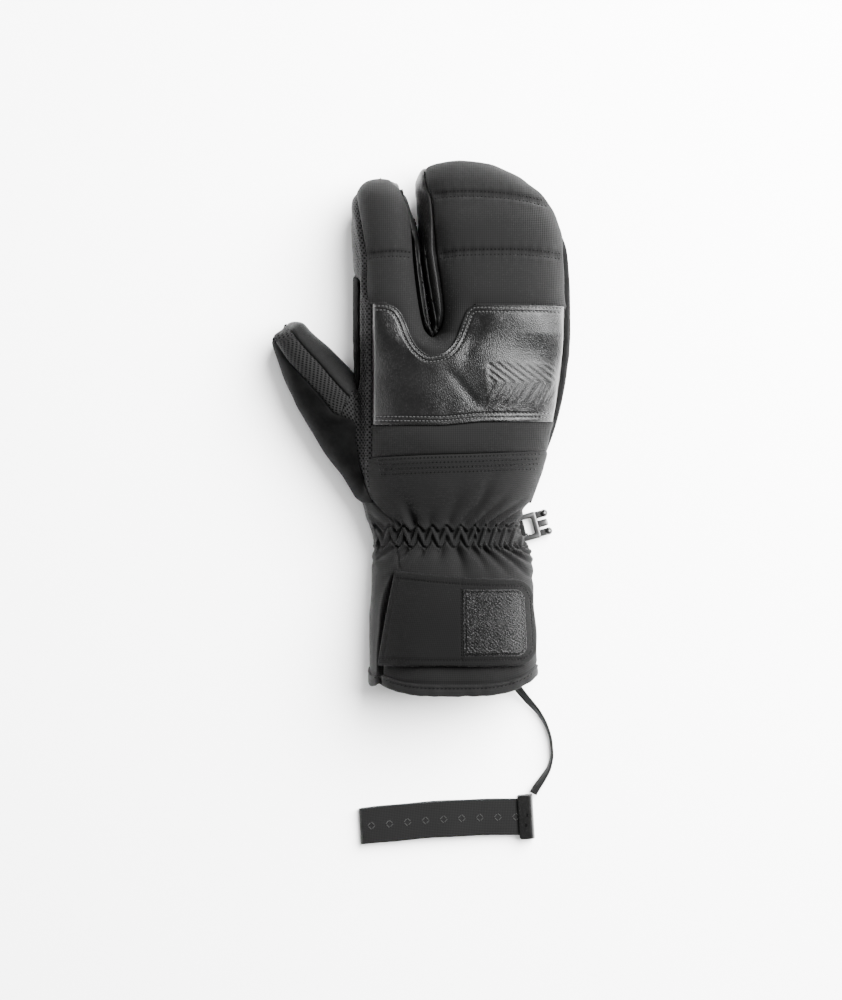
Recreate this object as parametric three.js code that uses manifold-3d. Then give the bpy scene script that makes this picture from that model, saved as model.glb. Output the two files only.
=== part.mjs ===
// A padded three-finger ("lobster claw") snow mitt for the right hand, lying on its palm.
// Index finger and thumb have stalls of their own; the other three fingers share one.
// +X points to the little-finger side, +Y to the fingertips, +Z away from the palm.
import * as THREE from "three";
import { mergeVertices } from "three/addons/utils/BufferGeometryUtils.js";
import Module from "manifold-3d";

const wasm = await Module();
wasm.setup();

// Driving sizes, in millimetres
const handLength = 210; // wrist crease to the longest fingertip
const gauntletLength = 85; // wrist crease to the hem
const palmWidth = 119;
const wristWidth = 85;
const cuffWidth = 92;
const palmHeight = 50;
const wristHeight = 38;
const cuffHeight = 44;
const thumbLength = 79; // from its root beside the palm to its tip
const thumbWidth = 37;
const thumbHeight = 34;
const backWall = 5; // padded cloth, insulation and lining
const sideWall = 3;
const palmWall = 3;
const gauntletWall = 2.6;
const seamGap = 0.3; // between two panels that are sewn together
const quiltDip = 1.4;
const gatherDepth = 1.5;
const gatherCount = 18;
const bindingWidth = 7;
const bindingStep = 0.6; // how far the hem binding stands proud of the cloth
const ventWidth = 3; // the slit beside the strap's sewn end
const strapHeight = 47;
const strapThickness = 2.4;
const strapCorner = 13;
const padLength = 34;
const padHeight = 36.5;
const padThickness = 1.2;
const restGap = 0.5; // between a piece and what it lies on or is sewn to at an angle
const clipWidth = 15;
const clipThickness = 3.2;
const clipBar = 3.2;
const clipSlot = 6;
const clipReach = 5.1; // from the wrist's side to the clip's crossbar
const clipAbove = 7.7; // from the wrist crease towards the fingertips
const prongLength = 5.4;
const prongWidth = 2.8;
const tabWidth = 8.5;
const tabThickness = 0.9;
const tabTail = 1.8; // its sewn ends reach to the gauntlet's side
const tapeWidth = 4.4; // the leash is a flat elastic tape
const tapeThickness = 1.7;
const bandWidth = 20; // the wrist loop at the end of the leash
const bandLength = 95.4;
const bandThickness = 1.3;
const bandGap = 2.4; // between the two layers of the flattened loop
const keeperWidth = 7.5;
const keeperOverhang = 2.2;
const keeperThickness = 1;

// Shapes of the cross-sections
const backPower = 2.4; // superellipse power above the widest level
const palmPower = 3; // and below it
const levelShare = 0.42; // height of the widest level
const sink = 1; // how far a section is squashed flat where it rests
const backSeamZ = 0.4 * palmHeight;
const sideSeamZ = 0.16 * palmHeight;
const thumbSeamZ = 0.4 * thumbHeight;
const above = 2 * palmHeight; // clear of everything

// Outlines seen from above. at: share of handLength beyond the wrist crease, left and right:
// shares of palmWidth from the gauntlet's middle line, rise: share of the full height.
const indexRows = [
  { at: 0.428, left: -0.456, right: 0.525, rise: 1 },
  { at: 0.46, left: -0.456, right: 0.382, rise: 1 },
  { at: 0.486, left: -0.459, right: 0.207, rise: 1 },
  { at: 0.509, left: -0.459, right: 0.032, rise: 1 },
  { at: 0.527, left: -0.461, right: -0.06, rise: 1 },
  { at: 0.54, left: -0.461, right: -0.097, rise: 1 },
  { at: 0.559, left: -0.461, right: -0.106, rise: 1 },
  { at: 0.64, left: -0.461, right: -0.128, rise: 1 },
  { at: 0.726, left: -0.461, right: -0.15, rise: 1 },
  { at: 0.783, left: -0.468, right: -0.161, rise: 1 },
  { at: 0.83, left: -0.47, right: -0.175, rise: 0.98 },
  { at: 0.867, left: -0.47, right: -0.194, rise: 0.94 },
  { at: 0.893, left: -0.465, right: -0.212, rise: 0.88 },
  { at: 0.914, left: -0.454, right: -0.23, rise: 0.78 },
  { at: 0.935, left: -0.431, right: -0.251, rise: 0.6 },
  { at: 0.946, left: -0.406, right: -0.274, rise: 0.42 },
  { at: 0.952, left: -0.373, right: -0.3, rise: 0.25 },
];
const threeFingerRows = [
  { at: 0.428, left: -0.456, right: 0.525, rise: 1 },
  { at: 0.46, left: -0.447, right: 0.532, rise: 1 },
  { at: 0.486, left: -0.364, right: 0.539, rise: 1 },
  { at: 0.509, left: -0.226, right: 0.541, rise: 1 },
  { at: 0.527, left: -0.134, right: 0.543, rise: 1 },
  { at: 0.54, left: -0.096, right: 0.544, rise: 1 },
  { at: 0.559, left: -0.095, right: 0.544, rise: 1 },
  { at: 0.64, left: -0.116, right: 0.543, rise: 1 },
  { at: 0.726, left: -0.14, right: 0.535, rise: 1 },
  { at: 0.789, left: -0.152, right: 0.521, rise: 1 },
  { at: 0.83, left: -0.161, right: 0.5, rise: 1 },
  { at: 0.862, left: -0.166, right: 0.479, rise: 0.97 },
  { at: 0.893, left: -0.171, right: 0.445, rise: 0.94 },
  { at: 0.914, left: -0.175, right: 0.415, rise: 0.91 },
  { at: 0.935, left: -0.175, right: 0.366, rise: 0.86 },
  { at: 0.956, left: -0.164, right: 0.318, rise: 0.78 },
  { at: 0.977, left: -0.141, right: 0.242, rise: 0.66 },
  { at: 0.99, left: -0.101, right: 0.189, rise: 0.55 },
  { at: 0.996, left: -0.051, right: 0.129, rise: 0.42 },
  { at: 1, left: -0.014, right: 0.074, rise: 0.28 },
];
// The hand from the wrist to the knuckles, with the heights of its section
const handRows = [
  { at: 0.078, left: -0.415, right: 0.336, top: 0.83, lift: 0.04 },
  { at: 0.11, left: -0.424, right: 0.371, top: 0.88, lift: 0.03 },
  { at: 0.141, left: -0.431, right: 0.392, top: 0.92, lift: 0.015 },
  { at: 0.183, left: -0.442, right: 0.417, top: 0.955, lift: 0 },
  { at: 0.225, left: -0.447, right: 0.44, top: 0.98, lift: 0 },
  { at: 0.266, left: -0.452, right: 0.461, top: 0.995, lift: 0 },
  { at: 0.308, left: -0.454, right: 0.482, top: 1, lift: 0 },
  { at: 0.366, left: -0.456, right: 0.505, top: 1, lift: 0 },
  { at: 0.428, left: -0.456, right: 0.525, top: 0.985, lift: 0 },
];
const fingerHeights = [
  { at: 0.428, top: 0.985, lift: 0 },
  { at: 0.522, top: 0.955, lift: 0 },
  { at: 0.627, top: 0.915, lift: 0 },
  { at: 0.731, top: 0.875, lift: 0.01 },
  { at: 0.836, top: 0.835, lift: 0.03 },
  { at: 0.914, top: 0.8, lift: 0.05 },
  { at: 1, top: 0.76, lift: 0.07 },
];
// The gauntlet below the crease. at: share of gauntletLength, widths: shares of cuffWidth
const cuffRows = [
  { at: -1.1, left: -0.497, right: 0.506, top: 1.01 },
  { at: -0.812, left: -0.503, right: 0.506, top: 1.01 },
  { at: -0.649, left: -0.503, right: 0.503, top: 1 },
  { at: -0.519, left: -0.5, right: 0.497, top: 0.99 },
  { at: -0.39, left: -0.491, right: 0.488, top: 0.97 },
  { at: -0.227, left: -0.485, right: 0.485, top: 0.93 },
  { at: -0.13, left: -0.491, right: 0.485, top: 0.9 },
];
const wristRows = [
  { at: -0.065, left: -0.524, right: 0.512, top: 1.01 },
  { at: 0.013, left: -0.526, right: 0.468, top: 1 },
  { at: 0.091, left: -0.55, right: 0.442, top: 1.03 },
];
// Seams of the back, with the same two shares
const indexSeam = [
  { at: 0.055, across: -0.313 },
  { at: 0.097, across: -0.359 },
  { at: 0.157, across: -0.376 },
  { at: 0.261, across: -0.378 },
  { at: 0.611, across: -0.378 },
  { at: 0.632, across: -0.396 },
  { at: 0.663, across: -0.403 },
  { at: 0.721, across: -0.401 },
  { at: 0.794, across: -0.419 },
  { at: 0.864, across: -0.442 },
  { at: 0.914, across: -0.452 },
  { at: 0.985, across: -0.468 },
];
const slotSeam = [
  { at: 0.985, across: -0.315 },
  { at: 0.941, across: -0.277 },
  { at: 0.923, across: -0.241 },
  { at: 0.864, across: -0.202 },
  { at: 0.806, across: -0.186 },
  { at: 0.739, across: -0.178 },
  { at: 0.671, across: -0.166 },
  { at: 0.595, across: -0.146 },
  { at: 0.551, across: -0.126 },
  { at: 0.534, across: -0.097 },
  { at: 0.556, across: -0.06 },
  { at: 0.595, across: -0.047 },
  { at: 0.663, across: -0.059 },
  { at: 0.757, across: -0.083 },
  { at: 0.82, across: -0.091 },
  { at: 0.89, across: -0.103 },
  { at: 0.927, across: -0.126 },
  { at: 0.963, across: -0.134 },
  { at: 0.99, across: -0.122 },
  { at: 1.03, across: -0.088 },
];
const littleFingerSeam = [
  { at: 0.95, across: 0.43 },
  { at: 0.875, across: 0.515 },
  { at: 0.822, across: 0.516 },
  { at: 0.739, across: 0.517 },
  { at: 0.684, across: 0.522 },
  { at: 0.616, across: 0.521 },
  { at: 0.548, across: 0.516 },
  { at: 0.457, across: 0.507 },
  { at: 0.392, across: 0.492 },
  { at: 0.313, across: 0.47 },
  { at: 0.261, across: 0.452 },
  { at: 0.204, across: 0.43 },
];
const knuckleTopSeam = [
  { at: 0.611, across: -0.378 },
  { at: 0.612, across: -0.318 },
  { at: 0.607, across: -0.281 },
  { at: 0.595, across: -0.251 },
  { at: 0.568, across: -0.224 },
  { at: 0.525, across: -0.194 },
  { at: 0.495, across: -0.157 },
  { at: 0.478, across: -0.106 },
  { at: 0.482, across: -0.055 },
  { at: 0.499, across: -0.012 },
  { at: 0.526, across: 0.018 },
  { at: 0.566, across: 0.044 },
  { at: 0.597, across: 0.068 },
  { at: 0.608, across: 0.1 },
  { at: 0.608, across: 0.521 },
];
const knuckleBottomSeam = [
  { at: 0.3, across: -0.378 },
  { at: 0.298, across: -0.074 },
  { at: 0.307, across: 0.147 },
  { at: 0.309, across: 0.468 },
];
// Where the palm meets the thumb, from the crotch down to the heel of the hand
const heelSeam = [
  { at: 0.388, across: -0.45 },
  { at: 0.308, across: -0.4535 },
  { at: 0.26, across: -0.449 },
  { at: 0.22, across: -0.439 },
  { at: 0.16, across: -0.415 },
  { at: 0.1, across: -0.372 },
  { at: 0.05, across: -0.335 },
];
// The gap between the thumb and the index finger, from the crotch up
const thumbGap = [
  { at: 0.388, across: -0.45 },
  { at: 0.44, across: -0.463 },
  { at: 0.5, across: -0.51 },
  { at: 0.75, across: -0.7 },
];
// The palm's edge along the side of the index finger, from the crotch up and over
const palmEdge = [
  { at: 0.388, across: -0.45 },
  { at: 0.41, across: -0.441 },
  { at: 0.43, across: -0.438 },
  { at: 0.68, across: -0.438 },
  { at: 0.695, across: -0.447 },
  { at: 0.7, across: -0.6 },
];
const gauntletSeamBack = { left: 0.213, right: 0.232 }; // shares of handLength
const gauntletSeamPalm = 0.097;
const quiltLines = [0.895, 0.741];

// The thumb. along: share of thumbLength from its root, left and right: shares of thumbWidth
const thumbRoot = { at: 0.245, across: -0.438 };
const thumbTurn = 31.2; // degrees from the fingers' direction, away from the palm
const thumbRows = [
  { along: -0.36, left: -0.37, right: 0.3, rise: 0.8 },
  { along: -0.27, left: -0.43, right: 0.5, rise: 0.94 },
  { along: -0.14, left: -0.427, right: 0.56, rise: 1 },
  { along: 0, left: -0.453, right: 0.59, rise: 1 },
  { along: 0.14, left: -0.471, right: 0.59, rise: 1 },
  { along: 0.28, left: -0.476, right: 0.56, rise: 1 },
  { along: 0.44, left: -0.473, right: 0.505, rise: 0.99 },
  { along: 0.59, left: -0.436, right: 0.438, rise: 0.96 },
  { along: 0.7, left: -0.407, right: 0.38, rise: 0.93 },
  { along: 0.8, left: -0.371, right: 0.31, rise: 0.89 },
  { along: 0.875, left: -0.342, right: 0.268, rise: 0.83 },
  { along: 0.935, left: -0.306, right: 0.245, rise: 0.74 },
  { along: 0.968, left: -0.2, right: 0.195, rise: 0.56 },
  { along: 0.99, left: -0.085, right: 0.12, rise: 0.36 },
  { along: 1, left: -0.04, right: 0.045, rise: 0.2 },
];
const thumbInnerSeam = [
  { along: 1.06, across: -0.3 },
  { along: 0.957, across: -0.268 },
  { along: 0.81, across: -0.257 },
  { along: 0.587, across: -0.166 },
  { along: 0.42, across: -0.095 },
  { along: 0.289, across: -0.062 },
];
const thumbOuterSeam = [
  { along: 0.37, across: 0.25 },
  { along: 0.5, across: 0.195 },
  { along: 0.633, across: 0.15 },
  { along: 0.75, across: 0.095 },
  { along: 0.87, across: 0.054 },
  { along: 0.985, across: 0.03 },
  { along: 1.06, across: 0 },
];

// Monotone cubic through the rows' column: smooth, and it never overshoots a row
function column(rows, place, key) {
  const x = rows.map((row) => row[place]);
  const v = rows.map((row) => row[key]);
  const slope = x.slice(1).map((_, i) => (v[i + 1] - v[i]) / (x[i + 1] - x[i]));
  const tangent = x.map((_, i) => {
    if (i === 0) return slope[0];
    if (i === x.length - 1) return slope[i - 1];
    const [a, b] = [slope[i - 1], slope[i]];
    return a * b <= 0 ? 0 : (2 * a * b) / (a + b);
  });
  return (at) => {
    if (at <= x[0]) return v[0];
    const i = x.findIndex((edge) => edge >= at) - 1;
    if (i < 0) return v[v.length - 1];
    const span = x[i + 1] - x[i];
    const t = (at - x[i]) / span;
    const rest = 1 - t;
    return (
      v[i] * (1 + 2 * t) * rest * rest +
      tangent[i] * span * t * rest * rest +
      v[i + 1] * t * t * (3 - 2 * t) -
      tangent[i + 1] * span * t * t * rest
    );
  };
}

const smoothstep = (low, high, x) => THREE.MathUtils.smoothstep(x, low, high);
const handY = (at) => at * handLength;
const inPlan = ({ at, across }) =>
  new THREE.Vector2(across * palmWidth, handY(at));

// Section of the gauntlet, wrist and hand at y: left, right, top and lift in millimetres
const bodyRows = [
  ...cuffRows.map((row) => ({
    y: row.at * gauntletLength,
    left: row.left * cuffWidth,
    right: row.right * cuffWidth,
    top: row.top * cuffHeight,
    lift: 0,
  })),
  ...wristRows.map((row) => ({
    y: row.at * gauntletLength,
    left: row.left * wristWidth,
    right: row.right * wristWidth,
    top: row.top * wristHeight,
    lift: 0.04 * palmHeight,
  })),
  ...handRows.map((row) => ({
    y: handY(row.at),
    left: row.left * palmWidth,
    right: row.right * palmWidth,
    top: row.top * palmHeight,
    lift: row.lift * palmHeight,
  })),
];
const body = {
  left: column(bodyRows, "y", "left"),
  right: column(bodyRows, "y", "right"),
  top: column(bodyRows, "y", "top"),
  lift: column(bodyRows, "y", "lift"),
};
const fingerTop = column(fingerHeights, "at", "top");
const fingerLift = column(fingerHeights, "at", "lift");
const bodySection = (y) => ({
  left: body.left(y),
  right: body.right(y),
  top: body.top(y),
  lift: body.lift(y),
});

// A stall's section: its row, or the hand's section where the stall has run into the hand
function stallSection(row) {
  const y = handY(row.at);
  const top = fingerTop(row.at) * palmHeight;
  const lift = fingerLift(row.at) * palmHeight;
  const level = lift + levelShare * (top - lift);
  const dip = quiltLines.reduce(
    (sum, at) => sum + quiltDip * Math.exp(-(((y - handY(at)) / 3) ** 2)),
    0,
  );
  return {
    y,
    left: row.left * palmWidth,
    right: row.right * palmWidth,
    top: level + (top - level) * row.rise - dip,
    lift: level - (level - lift) * row.rise,
  };
}

// A point of a section at an angle: 0 is the right side, 90 the top. grow moves it outwards.
function sectionPoint(section, angle, y, grow = { side: 0, top: 0, palm: 0 }) {
  const middle = (section.left + section.right) / 2;
  const half = (section.right - section.left) / 2 + grow.side;
  const level = section.lift + levelShare * (section.top - section.lift);
  const c = Math.cos(angle);
  const s = Math.sin(angle);
  const power = s > 0 ? backPower : palmPower;
  const height =
    s > 0
      ? section.top - level + grow.top
      : level - section.lift + sink + grow.palm;
  return new THREE.Vector3(
    middle + half * Math.sign(c) * Math.abs(c) ** (2 / power),
    y,
    level + height * Math.sign(s) * Math.abs(s) ** (2 / power),
  );
}

const angles = (count) =>
  Array.from({ length: count }, (_, i) => (2 * Math.PI * i) / count);

// A closed mesh through rings of equally many points, with a flat cap at each end
function loft(rings) {
  const count = rings[0].length;
  const points = rings.flat();
  const faces = [];
  for (let r = 0; r + 1 < rings.length; r++)
    for (let i = 0; i < count; i++) {
      const a = r * count + i;
      const b = r * count + ((i + 1) % count);
      faces.push(a, b, b + count, a, b + count, a + count);
    }
  const cap = (first, turned) => {
    const middle = new THREE.Vector3();
    for (let i = 0; i < count; i++) middle.add(points[first + i]);
    points.push(middle.divideScalar(count));
    const centre = points.length - 1;
    for (let i = 0; i < count; i++) {
      const [a, b] = [first + i, first + ((i + 1) % count)];
      faces.push(...(turned ? [centre, b, a] : [centre, a, b]));
    }
  };
  cap(0, true);
  cap((rings.length - 1) * count, false);
  return closedGeometry(points, faces);
}

// Builds the geometry and turns its faces round if they point inwards
function closedGeometry(points, faces) {
  const volume = faces.reduce((sum, _, i) => {
    if (i % 3) return sum;
    const [a, b, c] = [points[faces[i]], points[faces[i + 1]], points[faces[i + 2]]];
    return sum + a.dot(new THREE.Vector3().crossVectors(b, c));
  }, 0);
  const index = [...faces];
  if (volume < 0)
    for (let i = 0; i < index.length; i += 3)
      [index[i + 1], index[i + 2]] = [index[i + 2], index[i + 1]];
  const geometry = new THREE.BufferGeometry().setFromPoints(points);
  geometry.setIndex(index);
  return geometry;
}

function solid(geometry) {
  const bare = geometry.clone();
  bare.deleteAttribute("normal");
  bare.deleteAttribute("uv");
  const merged = mergeVertices(bare, 1e-4);
  return new wasm.Manifold(
    new wasm.Mesh({
      numProp: 3,
      vertProperties: new Float32Array(merged.attributes.position.array),
      triVerts: new Uint32Array(merged.index.array),
    }),
  );
}

function geometryOf(manifold) {
  const mesh = manifold.getMesh();
  const geometry = new THREE.BufferGeometry();
  geometry.setAttribute(
    "position",
    new THREE.BufferAttribute(new Float32Array(mesh.vertProperties), 3),
  );
  geometry.setIndex(new THREE.BufferAttribute(new Uint32Array(mesh.triVerts), 1));
  geometry.computeVertexNormals();
  return geometry;
}

const join = (solids) => solids.reduce((sum, one) => sum.add(one));

// A cut can leave crumbs at the meeting of two seams: only the panel itself is kept
const panelOf = (cut) =>
  cut.decompose().reduce((best, one) => (one.volume() > best.volume() ? one : best));

// An upright prism over an outline seen from above
function prism(outline, low, high) {
  const geometry = new THREE.ExtrudeGeometry(new THREE.Shape(outline), {
    depth: high - low,
    bevelEnabled: false,
  });
  return solid(geometry.translate(0, 0, low));
}

// A thin upright wall along a seam, as thick as the gap that a seam leaves
function seamCut(line, low, high) {
  const side = (sign) =>
    line.map((point, i) => {
      const before = line[Math.max(i - 1, 0)];
      const after = line[Math.min(i + 1, line.length - 1)];
      const along = after.clone().sub(before).normalize();
      const normal = new THREE.Vector2(-along.y, along.x);
      return point.clone().addScaledVector(normal, (sign * seamGap) / 2);
    });
  return prism([...side(1), ...side(-1).reverse()], low, high);
}

// A thin level slab over an outline, for a seam that runs round the edge of a panel
const levelCut = (outline, z) =>
  prism(outline, z - seamGap / 2, z + seamGap / 2);

// The hand: two stalls that grow into one palm, and a thumb at its side
const handSides = 24; // facets round a stall
const hollowSides = 14;
const inset = { side: -sideWall, top: -backWall, palm: -palmWall };
const baseRows = [0.03, 0.11, 0.183, 0.266, 0.366].map((at) => ({
  y: handY(at),
  ...bodySection(handY(at)),
}));

function stall(rows, count, grow, back) {
  const sections = [...baseRows, ...rows.map(stallSection)];
  const shown = sections.filter((_, i) => !back || i % 2 === 0 || i > sections.length - 3);
  return solid(
    loft(
      shown.map((section) =>
        angles(count).map((angle) =>
          sectionPoint(section, angle, section.y - back, grow),
        ),
      ),
    ),
  );
}

const thumbOrigin = inPlan(thumbRoot);
const thumbAngle = THREE.MathUtils.degToRad(thumbTurn);
const thumbToPlan = ({ along, across }) =>
  new THREE.Vector2(across * thumbWidth, along * thumbLength)
    .rotateAround(new THREE.Vector2(), thumbAngle)
    .add(thumbOrigin);

function thumb(count, grow, back) {
  const rings = thumbRows.map((row) => {
    const level = levelShare * thumbHeight;
    const section = {
      left: row.left * thumbWidth,
      right: row.right * thumbWidth,
      top: level + (thumbHeight - level) * row.rise,
      lift: level - level * row.rise,
    };
    const y = row.along * thumbLength - back;
    return angles(count).map((angle) => {
      const point = sectionPoint(section, angle, y, grow);
      const flat = new THREE.Vector2(point.x, point.y)
        .rotateAround(new THREE.Vector2(), thumbAngle)
        .add(thumbOrigin);
      return new THREE.Vector3(flat.x, flat.y, point.z);
    });
  });
  return solid(loft(rings));
}

// The gauntlet is a tube whose ends are swept, so a row's place depends on the angle
const seamAngle = (degrees) => THREE.MathUtils.degToRad(degrees);

const ventAngle = seamAngle(169); // beside the slit the hem hangs lower
function hemY(angle) {
  const sweep = 0.117 * Math.cos(angle) ** 2;
  const palmSweep = Math.sin(angle) < 0 ? 0.052 * Math.sin(angle) ** 2 : 0;
  const turn = (angle - ventAngle) / 0.3;
  const ventDrop = 0.055 * Math.exp(-turn * turn);
  return -gauntletLength * (1 - sweep - palmSweep + ventDrop);
}

function gauntletSeamY(angle) {
  const turn = angle > seamAngle(270) ? angle - 2 * Math.PI : angle;
  const across = (1 + Math.cos(turn)) / 2;
  const back = THREE.MathUtils.lerp(
    gauntletSeamBack.left,
    gauntletSeamBack.right,
    across,
  );
  const onBack =
    smoothstep(seamAngle(-30), seamAngle(-8), turn) *
    (1 - smoothstep(seamAngle(150), seamAngle(166), turn));
  return handY(THREE.MathUtils.lerp(gauntletSeamPalm, back, onBack));
}

const gatherLow = -0.13 * gauntletLength;
const gatherHigh = 0.169 * gauntletLength;
// of: the stretch a row belongs to, share: its place there, gather: how far the folds stand out
const gauntletPlaces = [
  { of: "cuff", share: 0, gather: 0 },
  { of: "cuff", share: 0.25, gather: 0 },
  { of: "cuff", share: 0.5, gather: 0 },
  { of: "cuff", share: 0.78, gather: 0 },
  { of: "wrist", share: 0, gather: -0.4 },
  { of: "wrist", share: 0.217, gather: -1 },
  { of: "wrist", share: 0.478, gather: 0 },
  { of: "wrist", share: 0.739, gather: 1 },
  { of: "wrist", share: 1, gather: 0.5 },
  { of: "hand", share: 0.4, gather: 0.12 },
  { of: "hand", share: 1, gather: 0 },
];

function gauntletY(place, angle, start, end) {
  if (place.of === "cuff")
    return THREE.MathUtils.lerp(hemY(angle) + start, gatherLow, place.share);
  if (place.of === "wrist")
    return THREE.MathUtils.lerp(gatherLow, gatherHigh, place.share);
  return THREE.MathUtils.lerp(gatherHigh, gauntletSeamY(angle) + end, place.share);
}

function gauntletTube({ places, count, grow, start, end, folds }) {
  return solid(
    loft(
      places.map((place) =>
        angles(count).map((angle) => {
          const y = gauntletY(place, angle, start, end);
          const fold = folds * place.gather * Math.cos(gatherCount * angle);
          const out = place.flush ? 0 : grow + fold;
          return sectionPoint(bodySection(y), angle, y, {
            side: out,
            top: out,
            palm: out,
          });
        }),
      ),
    ),
  );
}

const foldedCount = 4 * gatherCount;
const plainCount = 36;
const sparse = gauntletPlaces.filter((_, i) => i % 2 === 0);
const gauntletHollow = gauntletTube({
  places: sparse,
  count: plainCount,
  grow: -gauntletWall,
  start: -bindingWidth,
  end: bindingWidth,
  folds: 0,
});
const beyondGauntlet = gauntletTube({
  places: [
    { of: "wrist", share: 0.3, gather: 0 },
    { of: "hand", share: 0.4, gather: 0 },
    { of: "hand", share: 1, gather: 0 },
    { of: "hand", share: 1, gather: 0, flush: true }, // so that its end follows the gauntlet's
  ],
  count: foldedCount,
  grow: 12,
  start: 0,
  end: restGap,
  folds: 0,
});
const floorBlock = prism(
  [
    new THREE.Vector2(-palmWidth * 2, -handLength * 2),
    new THREE.Vector2(palmWidth * 2, -handLength * 2),
    new THREE.Vector2(palmWidth * 2, handLength * 2),
    new THREE.Vector2(-palmWidth * 2, handLength * 2),
  ],
  -above,
  0,
);

const handOutside = join([
  stall(indexRows, handSides, undefined, 0),
  stall(threeFingerRows, handSides, undefined, 0),
  thumb(handSides - 6, undefined, 0),
]);
const handHollow = join([
  stall(indexRows, hollowSides, inset, sideWall + 1),
  stall(threeFingerRows, hollowSides, inset, sideWall + 1),
  thumb(hollowSides - 4, { side: -sideWall, top: -sideWall, palm: -palmWall }, sideWall),
]);
const handWall = handOutside
  .subtract(handHollow)
  .subtract(floorBlock)
  .subtract(beyondGauntlet);

// Seam lines in plan
const indexLine = indexSeam.map(inPlan);
const slotLine = slotSeam.map(inPlan);
const littleFingerLine = littleFingerSeam.map(inPlan);
const knuckleTopLine = knuckleTopSeam.map(inPlan);
const knuckleBottomLine = knuckleBottomSeam.map(inPlan);
const heelLine = heelSeam.map(inPlan);
const thumbInnerLine = thumbInnerSeam.map(thumbToPlan);
const thumbOuterLine = thumbOuterSeam.map(thumbToPlan);
const plan = (at, across) => inPlan({ at, across });
const palmEdgeLine = palmEdge.map(inPlan);
const thumbGapLine = thumbGap.map(inPlan);

const between = (line, low, high) =>
  line.filter((point) => point.y >= handY(low) && point.y <= handY(high));

// Panels seen from above, as outlines that run past the mitt's own edge
const knuckleAt = knuckleTopSeam[0].at;
const knuckleRight = knuckleTopSeam[knuckleTopSeam.length - 1];
const fingerRegion = [
  ...between(indexLine, knuckleAt, 1),
  ...slotLine,
  plan(1.03, 0.43),
  ...between(littleFingerLine, knuckleRight.at + 0.001, 1),
  ...[...knuckleTopLine].reverse().slice(0, -1),
];
const knuckleRegion = [
  ...knuckleTopLine,
  ...between(littleFingerLine, knuckleBottomSeam[3].at + 0.001, knuckleRight.at - 0.001),
  ...[...knuckleBottomLine].reverse(),
];
const handRegion = [
  ...knuckleBottomLine,
  ...between(littleFingerLine, 0, knuckleBottomSeam[3].at - 0.001),
  plan(0.12, 0.43),
  plan(0.12, -0.366),
  ...between(indexLine, 0.13, 0.29),
];
const slotRegion = [...slotLine, plan(1.03, -0.315)];
const crotch = heelLine[0];
const webLine = [thumbInnerLine[thumbInnerLine.length - 1], thumbOuterLine[0]];
const indexSideRegion = [
  ...indexLine,
  plan(0.985, -0.6),
  ...[...palmEdgeLine].reverse(),
  webLine[1],
  webLine[0],
  ...heelLine.slice(1),
];
const thumbBackRegion = [...thumbInnerLine, ...thumbOuterLine];
const thumbSideRegion = [...thumbOuterLine, plan(0.75, -0.8), ...[...thumbGapLine].reverse()];
const thumbRegion = [
  plan(0.75, -1.1),
  ...[...thumbGapLine].reverse(),
  ...heelLine.slice(1),
  plan(-0.05, -0.335),
  plan(-0.05, -1.1),
];

const seamCuts = join([
  seamCut(indexLine, sideSeamZ, above),
  seamCut(slotLine, sideSeamZ, above),
  seamCut(littleFingerLine, backSeamZ, above),
  seamCut(knuckleTopLine, backSeamZ, above),
  seamCut(knuckleBottomLine, backSeamZ, above),
  seamCut(palmEdgeLine, sideSeamZ, above),
  seamCut(thumbGapLine, -1, above),
  seamCut(heelLine, -1, sideSeamZ),
  seamCut(heelLine.slice(1), -1, above),
  seamCut(thumbInnerLine, thumbSeamZ, above),
  seamCut([crotch, ...thumbOuterLine], sideSeamZ, above),
  seamCut([heelLine[1], ...webLine], sideSeamZ, above),
  levelCut(fingerRegion, backSeamZ),
  levelCut(knuckleRegion, backSeamZ),
  levelCut(handRegion, backSeamZ),
  levelCut(slotRegion, sideSeamZ),
  levelCut(indexSideRegion, sideSeamZ),
  levelCut(thumbBackRegion, thumbSeamZ),
  levelCut(thumbSideRegion, sideSeamZ),
]);
const panels = handWall.subtract(seamCuts);

const regions = {
  finger_back: prism(fingerRegion, backSeamZ, above),
  knuckle_panel: prism(knuckleRegion, backSeamZ, above),
  hand_back: prism(handRegion, backSeamZ, above),
  finger_fourchette: prism(slotRegion, sideSeamZ, above),
  index_side: prism(indexSideRegion, sideSeamZ, above),
  thumb_back: prism(thumbBackRegion, thumbSeamZ, above),
  thumb_side: prism(thumbSideRegion, sideSeamZ, above),
};
const upper = join(Object.values(regions));
const handPieces = Object.fromEntries(
  Object.entries(regions).map(([name, region]) => [
    name,
    panelOf(panels.intersect(region)),
  ]),
);
const lower = panels.subtract(upper);
const thumbSide = prism(thumbRegion, -1, above);
handPieces.thumb_palm = panelOf(lower.intersect(thumbSide));
handPieces.palm = panelOf(lower.subtract(thumbSide));

// The gauntlet, its slit and its hem binding
const ventLine = [
  plan(-0.42, -0.345),
  plan(-0.36, -0.325),
  plan(-0.26, -0.305),
  plan(-0.16, -0.29),
  plan(-0.08, -0.262),
];
const ventSide = (sign) =>
  ventLine.map((point, i) =>
    point
      .clone()
      .setX(point.x + (sign * ventWidth * (1 - i / (ventLine.length - 1) / 1.5)) / 2),
  );
const vent = prism(
  [...ventSide(-1), ...ventSide(1).reverse()],
  levelShare * cuffHeight,
  above,
);
const gauntlet = gauntletTube({
  places: gauntletPlaces,
  count: foldedCount,
  grow: 0,
  start: bindingWidth + restGap,
  end: 0,
  folds: gatherDepth,
})
  .subtract(gauntletHollow)
  .subtract(floorBlock)
  .subtract(vent);

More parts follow.
